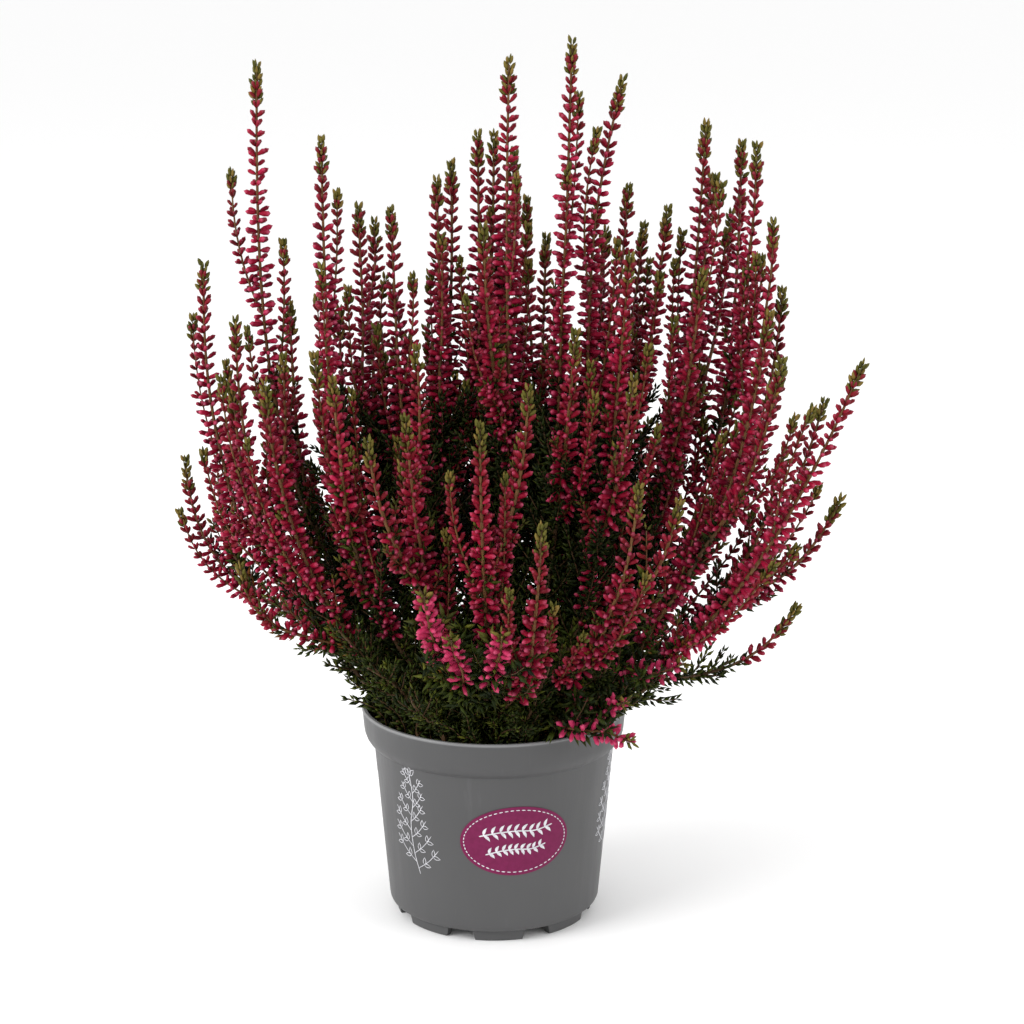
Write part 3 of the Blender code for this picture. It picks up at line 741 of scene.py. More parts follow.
def planTwigs():
    rng = random.Random(twigPlan["seed"])
    twigs = []
    for stem in stems:
        along, length = measured(stem["path"])
        shoot = stem["spray"] >= firstShoot
        distance = 3.0 if stem["parent"] < 0 else 8.0
        azimuth = rng.uniform(0.0, math.tau)
        top = length - 10.0 if shoot else length - stem["flower"] + twigPlan["intoFlower"]
        if not shoot and math.hypot(*stem["path"][14][:2]) < twigPlan["middleReach"]:
            top = max(top, min(length - 60.0, twigPlan["middleTop"] - 90.0))
        while distance < top:
            base = pathPoint(stem["path"], along, distance)
            tangent = unit(pathPoint(stem["path"], along, min(length, distance + 3.0)) - base)
            outward = unit(np.array([base[0], base[1], 0.0]))
            azimuth += goldenTurn + rng.uniform(-0.4, 0.4)
            inMiddle = math.hypot(base[0], base[1] - 20.0) < twigPlan["middleReach"] and base[1] > -18.0
            greenTop = twigPlan["middleTop"] if inMiddle else twigPlan["greenTop"]
            budded = not shoot and base[2] > greenTop + rng.uniform(-1.0, 1.0) * twigPlan["blur"]
            # Twigs deep in the middle; their leaves are painted darkest, as painted shade.
            deep = not shoot and not budded and base[2] > twigPlan["greenTop"]
            kind = "shoot" if shoot else "bud" if budded else "middle" if deep else "green"
            size = rng.uniform(*twigPlan[kind + "Length"]) * (1.0 - 0.35 * distance / max(top, 1.0))
            tilt = math.radians(rng.uniform(22.0, 42.0) if budded else rng.uniform(34.0, 62.0))
            path = twigFrom(base, tangent, outward, azimuth, tilt, size, rng)
            if clearOfPot(path):
                twigs.append({"spray": stem["spray"], "path": path, "flower": 0.86 * size if budded else 0.0,
                              "girth": twigPlan["girth"], "deep": deep})
            distance += twigPlan[kind + "Step"] * rng.uniform(0.75, 1.3)
    return twigs


twigs = planTwigs() + planSprigs()
spikes = planSpikes()
print("twigs planned:", len(twigs), "side spikes:", len(spikes))


# The parts that repeat, each with few faces and its length along Z, in millimetres.
budShape = {"profile": [(0.34, 0.0), (0.94, 1.9), (0.98, 3.9), (0.0, 5.0)], "sides": 5, "squash": 0.92}
leafShape = {"profile": [(0.0, 0.0), (0.92, 2.0), (0.0, 4.7)], "sides": 3, "squash": 0.62}
tipShape = {"profile": [(0.0, 0.0), (1.02, 2.1), (0.70, 3.7), (0.0, 4.7)], "sides": 4, "squash": 0.60}


def spindle(name, shape, material):
    profile, sides = shape["profile"], shape["sides"]
    vertices, along = [], []
    top = profile[-1][1]
    pointed = profile[0][0] == 0.0
    rings = profile[1 if pointed else 0:-1]
    for radius, height in rings:
        for k in range(sides):
            angle = math.tau * k / sides
            vertices.append((radius * math.cos(angle) * mm, radius * math.sin(angle) * shape["squash"] * mm,
                             height * mm))
            along.append(height / top)
    faces = [] if pointed else [tuple(reversed(range(sides)))]
    for low in range(0, (len(rings) - 1) * sides, sides):
        for k in range(sides):
            n = (k + 1) % sides
            faces.append((low + k, low + n, low + sides + n, low + sides + k))
    last = (len(rings) - 1) * sides
    vertices.append((profile[-1][0] * mm, 0.0, top * mm))
    along.append(1.0)
    for k in range(sides):
        faces.append((last + k, last + (k + 1) % sides, len(vertices) - 1))
    if pointed:
        vertices.append((0.0, 0.0, 0.0))
        along.append(0.0)
        for k in range(sides):
            faces.append(((k + 1) % sides, k, len(vertices) - 1))
    made = meshObject(name, vertices, faces)
    writeField(made.data, "along", along)
    made.data.materials.append(material)
    shadeSmooth(made)
    made.hide_render = True
    return made


budPart = spindle("budPart", budShape, budFinish)
leafPart = spindle("leafPart", leafShape, leafFinish)
tipPart = spindle("tipPart", tipShape, leafFinish)


# Geometry Nodes: whorls of a part along paths, and the stems round the same paths.
socketKinds = {float: "NodeSocketFloat", int: "NodeSocketInt", str: "NodeSocketString",
               "object": "NodeSocketObject", "material": "NodeSocketMaterial"}


# A node tree with named inputs. It takes a mesh, and ends in real geometry of one finish.
class Tree(Wiring):
    def __init__(self, name, inputs):
        self.group = bpy.data.node_groups.new(name, "GeometryNodeTree")
        self.nodes = self.group.nodes
        self.links = self.group.links
        face = self.group.interface
        face.new_socket("Geometry", in_out="INPUT", socket_type="NodeSocketGeometry")
        self.keys = {}
        for label, value in inputs.items():
            named = value in ("object", "material")
            kind = socketKinds[value if named else type(value)]
            socket = face.new_socket(label, in_out="INPUT", socket_type=kind)
            if not named:
                socket.default_value = value
            self.keys[label] = socket.identifier
        face.new_socket("Geometry", in_out="OUTPUT", socket_type="NodeSocketGeometry")
        self.given = self.nodes.new("NodeGroupInput").outputs
        self.result = self.nodes.new("NodeGroupOutput").inputs["Geometry"]

    def field(self, name):
        return self.add("GeometryNodeInputNamedAttribute", {"Name": name}, data_type="FLOAT").outputs[0]

    def store(self, geometry, name, value, domain):
        feeds = {"Geometry": geometry, "Name": name, "Value": value}
        return self.add("GeometryNodeStoreNamedAttribute", feeds, data_type="FLOAT", domain=domain).outputs[0]

    def drop(self, points, selection):
        feeds = {"Geometry": points, "Selection": selection}
        return self.add("GeometryNodeDeleteGeometry", feeds, domain="POINT").outputs[0]

    # A random number for each point, from the tree's seed and an offset of its own.
    def chance(self, low, high, offset):
        feeds = {2: low, 3: high, "Seed": self.plus(self.given["Seed"], offset)}
        return self.add("FunctionNodeRandomValue", feeds, data_type="FLOAT").outputs[1]

    def vector(self, **axes):
        return self.add("ShaderNodeCombineXYZ", axes).outputs[0]

    def turned(self, rotation, euler):
        feeds = {0: rotation, 1: self.add("FunctionNodeEulerToRotation", {0: euler}).outputs[0]}
        return self.add("FunctionNodeRotateRotation", feeds, rotation_space="LOCAL").outputs[0]

    def swung(self, vector, rotation):
        return self.add("FunctionNodeRotateVector", {0: vector, 1: rotation}).outputs[0]

    # The paths as smooth curves, with points at even spaces.
    def smoothCurves(self, spacing):
        curves = self.add("GeometryNodeMeshToCurve", {"Mesh": self.given["Geometry"]}).outputs[0]
        smooth = self.add("GeometryNodeCurveSplineType", {"Curve": curves}, spline_type="CATMULL_ROM")
        feeds = {"Curve": smooth.outputs[0], "Length": spacing}
        return self.add("GeometryNodeResampleCurve", feeds, mode="LENGTH").outputs[0]

    def placeParts(self, points, rotation, size):
        part = self.add("GeometryNodeObjectInfo", {"Object": self.given["Part"]}).outputs["Geometry"]
        feeds = {"Points": points, "Instance": part, "Rotation": rotation, "Scale": size}
        return self.add("GeometryNodeInstanceOnPoints", feeds).outputs[0]

    def close(self, geometry):
        real = self.add("GeometryNodeRealizeInstances", {"Geometry": geometry}).outputs[0]
        feeds = {"Geometry": real, "Material": self.given["Finish"]}
        self.links.new(self.add("GeometryNodeSetMaterial", feeds).outputs[0], self.result)


whorlSpread = {"size": (0.82, 1.12), "rise": 0.14, "stemRadius": 0.0007}  # rise is a share of the pitch


def makeWhorlTree():
    tree = Tree("whorlsAlongStems", {
        "Pitch": 0.0037, "Per Whorl": 4, "Twist": 0.0, "Tilt Young": 0.6, "Tilt Old": 1.5, "Young": 13.0,
        "Old": 55.0, "Jitter": 0.16, "Size Young": 0.7, "Size Old": 1.0, "Keep": 0.95, "Zone": "budZone",
        "Splay": 0.0, "Alternate": 0.0, "Part": "object", "Finish": "material", "Seed": 1})
    given = tree.given
    gone = tree.field("gone")

    # A number for each whorl in its zone, and then one point for each part of the whorl.
    curves = tree.smoothCurves(given["Pitch"])
    spots = tree.add("GeometryNodeCurveToPoints", {"Curve": curves}, mode="EVALUATED")
    kept = tree.drop(spots.outputs["Points"], tree.math("LESS_THAN", tree.field(given["Zone"]), 0.5))
    numbered = tree.store(kept, "number", tree.add("GeometryNodeInputIndex").outputs[0], "POINT")
    many = tree.add("GeometryNodeDuplicateElements", {"Geometry": numbered, "Amount": given["Per Whorl"]},
                    domain="POINT")
    missing = tree.math("GREATER_THAN", tree.chance(0.0, 1.0, 0.0), given["Keep"])
    left = tree.drop(many.outputs["Geometry"], missing)

    # Round the stem: an even share of the turn, a twist for each whorl, and splayed pairs.
    inWhorl = many.outputs["Duplicate Index"]
    number = tree.field("number")
    turn = tree.times(inWhorl, tree.math("DIVIDE", math.tau, given["Per Whorl"]))
    turn = tree.plus(turn, tree.times(number, given["Twist"]))
    turn = tree.plus(turn, math.pi / 4.0)
    side = tree.math("SUBTRACT", 1.0, tree.times(tree.math("FLOORED_MODULO", inWhorl, 2.0), 2.0))
    closer = tree.times(tree.math("FLOORED_MODULO", number, 2.0), given["Alternate"])
    turn = tree.plus(turn, tree.times(side, tree.math("SUBTRACT", given["Splay"], closer)))
    turn = tree.plus(turn, tree.times(tree.chance(-1.0, 1.0, 7.0), given["Jitter"]))
    place = tree.add("GeometryNodeInputPosition").outputs[0]
    flat = tree.add("ShaderNodeVectorMath", {0: place, 1: (1.0, 1.0, 0.0)}, operation="MULTIPLY").outputs[0]
    axes = tree.add("FunctionNodeAxesToRotation", primary_axis="Z", secondary_axis="X")
    tree.feed(axes.inputs[0], spots.outputs["Tangent"])
    tree.feed(axes.inputs[1], flat)
    facing = tree.turned(axes.outputs[0], tree.vector(Z=turn))

    # Away from the stem, further down it as the part is older.
    tilt = tree.span(gone, given["Young"], given["Old"], given["Tilt Young"], given["Tilt Old"])
    nod = tree.times(tree.chance(-1.0, 1.0, 13.0), given["Jitter"])
    rotation = tree.turned(facing, tree.vector(Y=tree.plus(tilt, nod)))
    size = tree.span(gone, given["Young"], given["Old"], given["Size Young"], given["Size Old"])
    size = tree.times(size, tree.chance(*whorlSpread["size"], 19.0))
    out = tree.swung(tree.vector(X=tree.times(tree.field("girth"), whorlSpread["stemRadius"])), facing)
    rise = tree.times(tree.chance(-whorlSpread["rise"], whorlSpread["rise"], 29.0), given["Pitch"])
    lift = tree.swung(tree.vector(Z=rise), facing)
    offset = tree.add("ShaderNodeVectorMath", {0: out, 1: lift}, operation="ADD").outputs[0]
    moved = tree.add("GeometryNodeSetPosition", {"Geometry": left, "Offset": offset}).outputs[0]
    placed = tree.placeParts(moved, rotation, size)
    tree.close(tree.store(placed, "shade", tree.chance(0.0, 1.0, 31.0), "INSTANCE"))
    return tree


def makeStemTree():
    tree = Tree("roundStems", {"Girth": 0.001, "Sides": 5, "Step": 0.005, "Finish": "material"})
    girth = tree.times(tree.field("girth"), tree.given["Girth"])
    feeds = {"Resolution": tree.given["Sides"], "Radius": 1.0}
    ring = tree.add("GeometryNodeCurvePrimitiveCircle", feeds).outputs["Curve"]
    curves = tree.smoothCurves(tree.given["Step"])
    feeds = {"Curve": curves, "Profile Curve": ring, "Fill Caps": True, "Scale": girth}
    skin = tree.add("GeometryNodeCurveToMesh", feeds).outputs[0]
    tree.close(tree.add("GeometryNodeSetShadeSmooth", {"Geometry": skin}).outputs[0])
    return tree


whorlTree = makeWhorlTree()
stemTree = makeStemTree()

# How far from a path's tip each zone reaches, in millimetres, and how the path thins.
zonePlan = {
    "greenTip": 6.5, "tuft": 6.0, "pinkGreenTip": 3.0, "pinkTuft": 1.0, "leafPast": 8.0, "twigGreenTip": 3.2,
    "twigTuft": 7.0, "twigTuftShare": 0.45, "twigLeafPast": 2.0, "twigLeafTip": 4.0, "pinkAge": 34.0,
    "pinkTone": 1.2, "girth": 1.15, "taper": 0.60, "twigTaper": 0.4,
}


# Edges along each path, with what grows at each point written on it.
def pathMesh(name, paths):
    vertices, edges = [], []
    rng = random.Random(len(paths))
    fields = {"gone": [], "girth": [], "budZone": [], "leafZone": [], "tipZone": [], "tone": []}
    for entry in paths:
        along, length = measured(entry["path"])
        flower = min(twigPlan["flowerShare"] * length, twigPlan["flowerMore"] * entry["flower"])
        if entry["spray"] in shortHeads:
            flower = min(flower, twigPlan["headLength"])
        pink = entry["spray"] in pinkSprays
        tone = rng.random() + (zonePlan["pinkTone"] if pink else 0.0)
        greenTip = zonePlan["pinkGreenTip" if pink else "greenTip"]
        tuft = greenTip + zonePlan["pinkTuft" if pink else "tuft"] if entry["spray"] < firstShoot else -1.0
        twigTuft = 1.0 if entry.get("girth") == twigPlan["spikeGirth"] else zonePlan["twigTuftShare"]
        first = len(vertices)
        for k, point in enumerate(entry["path"]):
            gone = length - along[k]
            share = along[k] / length
            vertices.append(tuple(point * mm))
            if "girth" in entry:
                girth = entry["girth"] * (1.0 - zonePlan["twigTaper"] * share)
                inBud = zonePlan["twigGreenTip"] < gone < entry["flower"]
                inLeaf = gone > entry["flower"] - zonePlan["twigLeafPast"] or gone < zonePlan["twigLeafTip"]
                inTip = twigTuft if entry["flower"] and gone < zonePlan["twigTuft"] else 0.0
            else:
                girth = zonePlan["girth"] - zonePlan["taper"] * share
                inBud = greenTip < gone < flower
                inLeaf = gone > flower - zonePlan["leafPast"]
                inTip = gone < tuft
            # A twig deep in the middle gets tone 0, the dark end of the leaf colours: painted shade.
            written = {"gone": gone + (zonePlan["pinkAge"] if pink else 0.0), "girth": girth,
                       "budZone": inBud, "leafZone": inLeaf, "tipZone": inTip,
                       "tone": 0.0 if entry.get("deep") else tone}
            for key, value in written.items():
                fields[key].append(float(value))
            if k:
                edges.append((first + k - 1, first + k))
    mesh = bpy.data.meshes.new(name)
    mesh.from_pydata(vertices, edges, [])
    for key, values in fields.items():
        writeField(mesh, key, values)
    mesh.update()
    return mesh


# Run one tree on a copy of the paths, and give back a plain mesh object.
def grow(name, mesh, tree, values):
    made = bpy.data.objects.new(name, mesh.copy())
    scene.collection.objects.link(made)
    modifier = made.modifiers.new("grow", "NODES")
    modifier.node_group = tree.group
    for label, value in values.items():
        modifier[tree.keys[label]] = value
    bakeModifiers(made)
    return made


# One object from several, with each material once.
def joined(name, pieces):
    mesh = bpy.data.meshes.new(name)
    work = bmesh.new()
    materials = []
    for piece in pieces:
        before = len(work.faces)
        work.from_mesh(piece.data)
        work.faces.ensure_lookup_table()
        slots = []
        for material in piece.data.materials:
            if material not in materials:
                materials.append(material)
            slots.append(materials.index(material))
        for face in work.faces[before:]:
            face.material_index = slots[face.material_index] if slots else 0
    work.to_mesh(mesh)
    work.free()
    for material in materials:
        mesh.materials.append(material)
    for piece in pieces:
        bpy.data.objects.remove(piece, do_unlink=True)
    made = bpy.data.objects.new(name, mesh)
    scene.collection.objects.link(made)
    return made


# Rows of parts along the paths. Young and Old are millimetres from the tip.
budRow = {"Pitch": 0.0041, "Per Whorl": 4, "Twist": 0.0, "Tilt Young": 0.58, "Tilt Old": 1.44, "Young": 8.0,
          "Old": 70.0, "Jitter": 0.18, "Size Young": 0.94, "Size Old": 1.28, "Keep": 0.95, "Zone": "budZone",
          "Splay": 0.34, "Alternate": 0.52, "Part": budPart, "Finish": budFinish, "Seed": 101}
spikeBudRow = {**budRow, "Young": 4.0, "Size Young": 0.80, "Size Old": 1.14, "Seed": 151}
twigBudRow = {**budRow, "Pitch": 0.0038, "Twist": 0.5, "Tilt Young": 0.5, "Tilt Old": 1.4, "Young": 0.0,
              "Old": 14.0, "Jitter": 0.3, "Size Young": 0.72, "Size Old": 0.96, "Keep": 0.92, "Splay": 0.0,
              "Alternate": 0.0, "Seed": 131}
leafRow = {"Pitch": 0.0026, "Per Whorl": 3, "Twist": 1.05, "Tilt Young": 0.5, "Tilt Old": 0.86, "Young": 0.0,
           "Old": 60.0, "Jitter": 0.25, "Size Young": 0.9, "Size Old": 1.15, "Keep": 0.92, "Zone": "leafZone",
           "Part": leafPart, "Finish": leafFinish, "Seed": 11}
twigRow = {**leafRow, "Tilt Young": 0.42, "Tilt Old": 1.0, "Old": 34.0, "Size Old": 1.60, "Keep": 0.95,
           "Seed": 41}
tipRow = {"Pitch": 0.0026, "Per Whorl": 4, "Twist": 0.785, "Tilt Young": 0.34, "Tilt Old": 0.86, "Young": 1.0,
          "Old": 15.0, "Jitter": 0.16, "Size Young": 0.98, "Size Old": 0.98, "Keep": 0.97, "Zone": "tipZone",
          "Part": tipPart, "Finish": leafFinish, "Seed": 71}
spikeTipRow = {**tipRow, "Seed": 171}
woodRow = {"Girth": 0.001, "Sides": 5, "Step": 0.006, "Finish": stemFinish}
clumpSize = 9  # sprays in one piece


def makeClump(number, members):
    shoot = members[0] >= firstShoot
    label = "greenShoots" if shoot else "clump%d" % (number + 1)
    stemPaths, twigPaths, spikePaths = (
        pathMesh(name, [entry for entry in entries if entry["spray"] in members])
        for name, entries in (("stemPaths", stems), ("twigPaths", twigs), ("spikePaths", spikes)))

    def growRow(name, paths, row):
        return grow(name, paths, whorlTree, {**row, "Seed": row["Seed"] + number})

    greens = [
        grow("wood", stemPaths, stemTree, woodRow),
        grow("twigWood", twigPaths, stemTree, {**woodRow, "Sides": 3}),
        growRow("leaves", stemPaths, leafRow),
        growRow("twigLeaves", twigPaths, twigRow),
    ]
    if shoot:
        nodes = ["green_shoot_%02d" % (spray - firstShoot + 1) for spray in members]
    else:
        nodes = ["flower_spray_%02d" % (spray + 1) for spray in members]
        greens += [
            growRow("tips", stemPaths, tipRow),
            growRow("spikeTips", spikePaths, spikeTipRow),
            grow("spikeWood", spikePaths, stemTree, {**woodRow, "Sides": 4}),
        ]
        flowers = joined(label + "Buds", [
            growRow("buds", stemPaths, budRow),
            growRow("spikeBuds", spikePaths, spikeBudRow),
            growRow("twigBuds", twigPaths, twigBudRow),
        ])
        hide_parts(*nodes)
        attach(flowers, "root")
        print(flowers.name, len(flowers.data.polygons))
    green = joined(label if shoot else label + "Stems", greens)
    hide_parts(*nodes)
    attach(green, "root")
    print(green.name, len(green.data.polygons))


sprayCount = max(stem["spray"] for stem in stems if stem["spray"] < firstShoot) + 1
clumps = [list(range(low, min(sprayCount, low + clumpSize))) for low in range(0, sprayCount, clumpSize)]
clumps.append([stem["spray"] for stem in stems if stem["spray"] >= firstShoot])
for number, members in enumerate(clumps):
    makeClump(number, members)
for part in (budPart, leafPart, tipPart):
    bpy.data.objects.remove(part, do_unlink=True)


# Pot, turned finer than its solid, with its foot notches and drain holes.
potShape = {
    "height": 0.0977, "rim": 0.0600, "bodyTop": 0.0546, "bodyFoot": 0.0480, "footStep": 0.0002,
    "wall": 0.0012, "underside": 0.0060, "wallFrom": 0.0085, "wallTo": 0.0802, "lipHighlightBand": 0.0007,
    "steps": 120, "sharp": math.radians(32.0), "turn": math.radians(25.5), "notches": 8,
    "notchWidth": 0.0130, "notchHeight": 0.0048, "notchTaper": 0.12, "notchInner": 0.0375,
    "notchOuter": 0.0520, "drains": 5, "drainRadius": 0.0040, "drainCircle": 0.0250, "drainSides": 28,
    "drainCut": (0.004, 0.009),
}


# The outer radius of the pot's tapered wall.
def potRadius(height):
    share = (height - potShape["wallFrom"]) / (potShape["wallTo"] - potShape["wallFrom"])
    foot = potShape["bodyFoot"] + potShape["footStep"]
    return foot + (potShape["bodyTop"] - foot) * share


# A closed form turned from its half outline.
def turned(name, profile, steps):
    made = meshObject(name, [(radius, 0.0, height) for radius, height in profile], [])
    made.data.edges.add(len(profile) - 1)
    for k, edge in enumerate(made.data.edges):
        edge.vertices = (k, k + 1)
    screw = made.modifiers.new("turn", "SCREW")
    screw.axis = "Z"
    screw.angle = math.tau
    screw.steps = steps
    screw.render_steps = steps
    screw.use_merge_vertices = True
    screw.merge_threshold = 0.00001
    bakeModifiers(made)
    tidyNormals(made, 0.000005)
    return made


# A closed block between two loops of points, kept out of the scene as a cutter.
def addCutter(holder, name, low, high):
    count = len(low)
    faces = [tuple(reversed(range(count))), tuple(range(count, 2 * count))]
    faces += [(k, (k + 1) % count, count + (k + 1) % count, count + k) for k in range(count)]
    cutter = meshObject(name, low + high, faces)
    scene.collection.objects.unlink(cutter)
    holder.objects.link(cutter)


def notchLoop(angle, level, spread):
    half = potShape["notchWidth"] / 2.0
    loop = []
    inner, outer = potShape["notchInner"], potShape["notchOuter"]
    for x, y in ((inner, -0.86 * half), (outer, -1.14 * half), (outer, 1.14 * half), (inner, 0.86 * half)):
        loop.append((x * math.cos(angle) - y * spread * math.sin(angle),
                     x * math.sin(angle) + y * spread * math.cos(angle), level))
    return loop


def drainLoop(angle, level):
    middle = (potShape["drainCircle"] * math.cos(angle), potShape["drainCircle"] * math.sin(angle))
    loop = []
    for side in range(potShape["drainSides"]):
        turn = math.tau * side / potShape["drainSides"]
        loop.append((middle[0] + potShape["drainRadius"] * math.cos(turn),
                     middle[1] + potShape["drainRadius"] * math.sin(turn), level))
    return loop


# The pot's half outline, from the middle of its floor up the inside, over the lip and down to the foot ring.
def potOutline():
    rim, height, wall, under = (potShape[key] for key in ("rim", "height", "wall", "underside"))
    innerTop, innerFoot = potShape["bodyTop"] - wall, potShape["bodyFoot"] - wall
    inside = [
        (0.0, under + wall), (innerFoot - 0.0026, under + wall), (innerFoot - 0.0008, 0.0080),
        (innerFoot, 0.0098), (innerTop, 0.0798), (0.0547, 0.0812), (0.0562, 0.0826), (0.0571, 0.0842),
        (0.0579, 0.0862), (0.0582, 0.0884), (0.0585, 0.0930), (0.0585, 0.0958), (0.0581, 0.0964),
    ]
    lip = [
        (0.0580, height - 0.0006), (0.0583, height - 0.0001), (0.0588, height), (rim - 0.0003, height),
        (rim + 0.0001, height - 0.0005), (rim + 0.0001, height - 0.0014), (rim - 0.0002, height - 0.0019),
        (rim - 0.0003, height - 0.0024),
    ]
    collar = [
        (0.0595, 0.0922), (0.0591, 0.0878), (0.0588, 0.0860), (0.0581, 0.0841), (0.0571, 0.0825),
        (0.0559, 0.0812), (0.0550, 0.0806), (potShape["bodyTop"] + 0.0001, 0.0803),
    ]
    body = [
        (potRadius(0.0798), 0.0798), (potRadius(0.0670), 0.0670), (potRadius(0.0666) - 0.00012, 0.0666),
        (potRadius(0.0400), 0.0400), (potRadius(0.0120), 0.0120),
    ]
    foot = [
        (0.0482, 0.0085), (0.0480, 0.0070), (0.0475, 0.0059), (0.0466, 0.0053), (0.0455, 0.0051),
        (0.0451, 0.0047), (0.0447, 0.0006), (0.0443, 0.0001), (0.0438, 0.0), (0.0403, 0.0), (0.0401, 0.0004),
        (0.0398, under), (0.0, under),
    ]
    return inside + lip + collar + body + foot


def makePot():
    pot = turned("pot", potOutline(), potShape["steps"])
    holder = bpy.data.collections.new("potCutters")
    scene.collection.children.link(holder)
    for k in range(potShape["notches"]):
        angle = potShape["turn"] + math.tau * k / potShape["notches"]
        addCutter(holder, "notchCutter", notchLoop(angle, -0.001, 1.0 + potShape["notchTaper"]),
                  notchLoop(angle, potShape["notchHeight"], 1.0 - potShape["notchTaper"]))
    for k in range(potShape["drains"]):
        angle = potShape["turn"] + math.tau * (k + 0.5) / potShape["drains"]
        addCutter(holder, "drainCutter", *(drainLoop(angle, level) for level in potShape["drainCut"]))
    boolean = pot.modifiers.new("cut", "BOOLEAN")
    boolean.operation = "DIFFERENCE"
    boolean.operand_type = "COLLECTION"
    boolean.collection = holder
    boolean.solver = "EXACT"
    bakeModifiers(pot)
    for cutter in list(holder.objects):
        bpy.data.objects.remove(cutter, do_unlink=True)
    bpy.data.collections.remove(holder)
    tidyNormals(pot)
    shadeSmooth(pot)
    pot.data.set_sharp_from_angle(angle=potShape["sharp"])
    pot.data.materials.clear()
    pot.data.materials.append(potFinish)
    # The top band of the rim, which carries the painted highlight.
    lipHighlightFrom = potShape["height"] - potShape["lipHighlightBand"]
    writeField(pot.data, "lip", [float(vertex.co.z > lipHighlightFrom) for vertex in pot.data.vertices])
    return pot


pot = makePot()
pot.name = "potWall"
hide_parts("pot")
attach(pot, "root")
print("pot made", len(pot.data.polygons))


# Print on the pot: an oval label with a stitched border and leaf sprays, and white line sprigs beside it.
printPlan = {
    "labelTurn": 11.2, "labelHigh": 0.0500, "labelHalfWide": 0.0250, "labelHalfHigh": 0.0165,
    "labelSides": 96, "labelRings": 10, "thick": 0.00016, "sunk": 0.0002, "dashes": 58,
    "dashWidth": 0.00042, "borderIn": 0.0016, "sprayWidth": 0.00055, "leafWidth": 0.00135,
    "inkProud": 0.00008, "sprigTurns": [-44.0, 76.0, 196.0], "sprigHigh": 0.0530, "inkWidth": 0.00030,
    "sprigProud": 0.00009,
}


# A point on the pot's wall: turn from the front, metres along the wall, height, and how far it stands off.
def onPot(turnDegrees, sideways, height, proud):
    radius = potRadius(height)
    angle = math.radians(turnDegrees) + sideways / radius - math.pi / 2.0
    return Vector(((radius + proud) * math.cos(angle), (radius + proud) * math.sin(angle), height))


# A thin closed patch on the wall from an outline given as (sideways, up).
def printedPatch(name, turnDegrees, high, outline, rings, material):
    vertices, faces = [], []
    count = len(outline)
    for proud in (printPlan["thick"], -printPlan["sunk"]):
        vertices.append(onPot(turnDegrees, 0.0, high, proud))
        for ring in range(1, rings + 1):
            for across, up in outline:
                share = ring / rings
                vertices.append(onPot(turnDegrees, across * share, high + up * share, proud))
    layer = 1 + rings * count
    for base, way in ((0, 1), (layer, -1)):
        for k in range(count):
            n = (k + 1) % count
            faces.append((base, base + 1 + k, base + 1 + n)[::way])
            for near in range(base + 1, base + 1 + (rings - 1) * count, count):
                beyond = near + count
                faces.append((near + k, beyond + k, beyond + n, near + n)[::way])
    edge = 1 + (rings - 1) * count
    back = layer + edge
    for k in range(count):
        n = (k + 1) % count
        faces.append((edge + k, back + k, back + n, edge + n))
    made = meshObject(name, vertices, faces)
    tidyNormals(made, 0.0)
    shadeSmooth(made)
    made.data.set_sharp_from_angle(angle=math.radians(40.0))
    made.data.materials.append(material)
    return made


# A flat closed ribbon on the wall along a line of (sideways, up), with one width or one for each point.
def inkStroke(turnDegrees, high, line, width, proud):
    vertices, faces = [], []
    ends = (0, len(line) - 1)
    widths = width if isinstance(width, list) else [width] * len(line)
    for k, (across, up) in enumerate(line):
        before, after = line[max(0, k - 1)], line[min(ends[1], k + 1)]
        dx, dy = after[0] - before[0], after[1] - before[1]
        size = math.hypot(dx, dy) or 1.0
        half = widths[k] / 2.0 * (0.55 if k in ends else 1.0)
        nx, ny = -dy / size * half, dx / size * half
        for lift in (proud, proud - printPlan["sunk"]):
            vertices.append(onPot(turnDegrees, across + nx, high + up + ny, lift))
            vertices.append(onPot(turnDegrees, across - nx, high + up - ny, lift))
    for a in range(0, 4 * ends[1], 4):
        b = a + 4
        faces += [(a, a + 1, b + 1, b), (a + 3, a + 2, b + 2, b + 3)]
        faces += [(a + 2, a, b, b + 2), (a + 1, a + 3, b + 3, b + 1)]
    last = 4 * ends[1]
    faces += [(0, 2, 3, 1), (last, last + 1, last + 3, last + 2)]
    return vertices, faces


def inkPiece(name, turnDegrees, high, strokes, proud, material):
    vertices, faces = [], []
    for line, width in strokes:
        more, quads = inkStroke(turnDegrees, high, line, width, proud)
        base = len(vertices)
        vertices += more
        faces += [tuple(base + k for k in quad) for quad in quads]
    made = meshObject(name, vertices, faces)
    tidyNormals(made, 0.0)
    made.data.materials.append(material)
    return made


# A flowing line through a few points, by Catmull-Rom.
def smoothLine(points, count):
    ends = [points[0]] + list(points) + [points[-1]]
    line = []
    for k in range(1, len(ends) - 2):
        corners = ends[k - 1:k + 3]
        for step in range(count):
            t = step / count
            spot = []
            for p0, p1, p2, p3 in zip(*corners):
                bend = (2 * p0 - 5 * p1 + 4 * p2 - p3) * t * t + (3 * p1 - p0 - 3 * p2 + p3) * t ** 3
                spot.append(0.5 * (2 * p1 + (p2 - p0) * t + bend))
            line.append(tuple(spot))
    line.append(tuple(points[-1]))
    return line


# A point given along and across a heading, from its foot.
def headed(foot, angle, x, y):
    return (foot[0] + x * math.cos(angle) - y * math.sin(angle),
            foot[1] + x * math.sin(angle) + y * math.cos(angle))


# A leaf drawn as one closed line: out along one side of it, and back along the other.
def leafLoop(foot, angle, length, width):
    loop = []
    for k in range(9):
        t = k / 8.0
        side = 1.0 if t <= 0.5 else -1.0
        along = 2.0 * t if t <= 0.5 else 2.0 - 2.0 * t
        loop.append(headed(foot, angle, along * length, side * width * math.sin(math.pi * along ** 0.8)))
    return loop


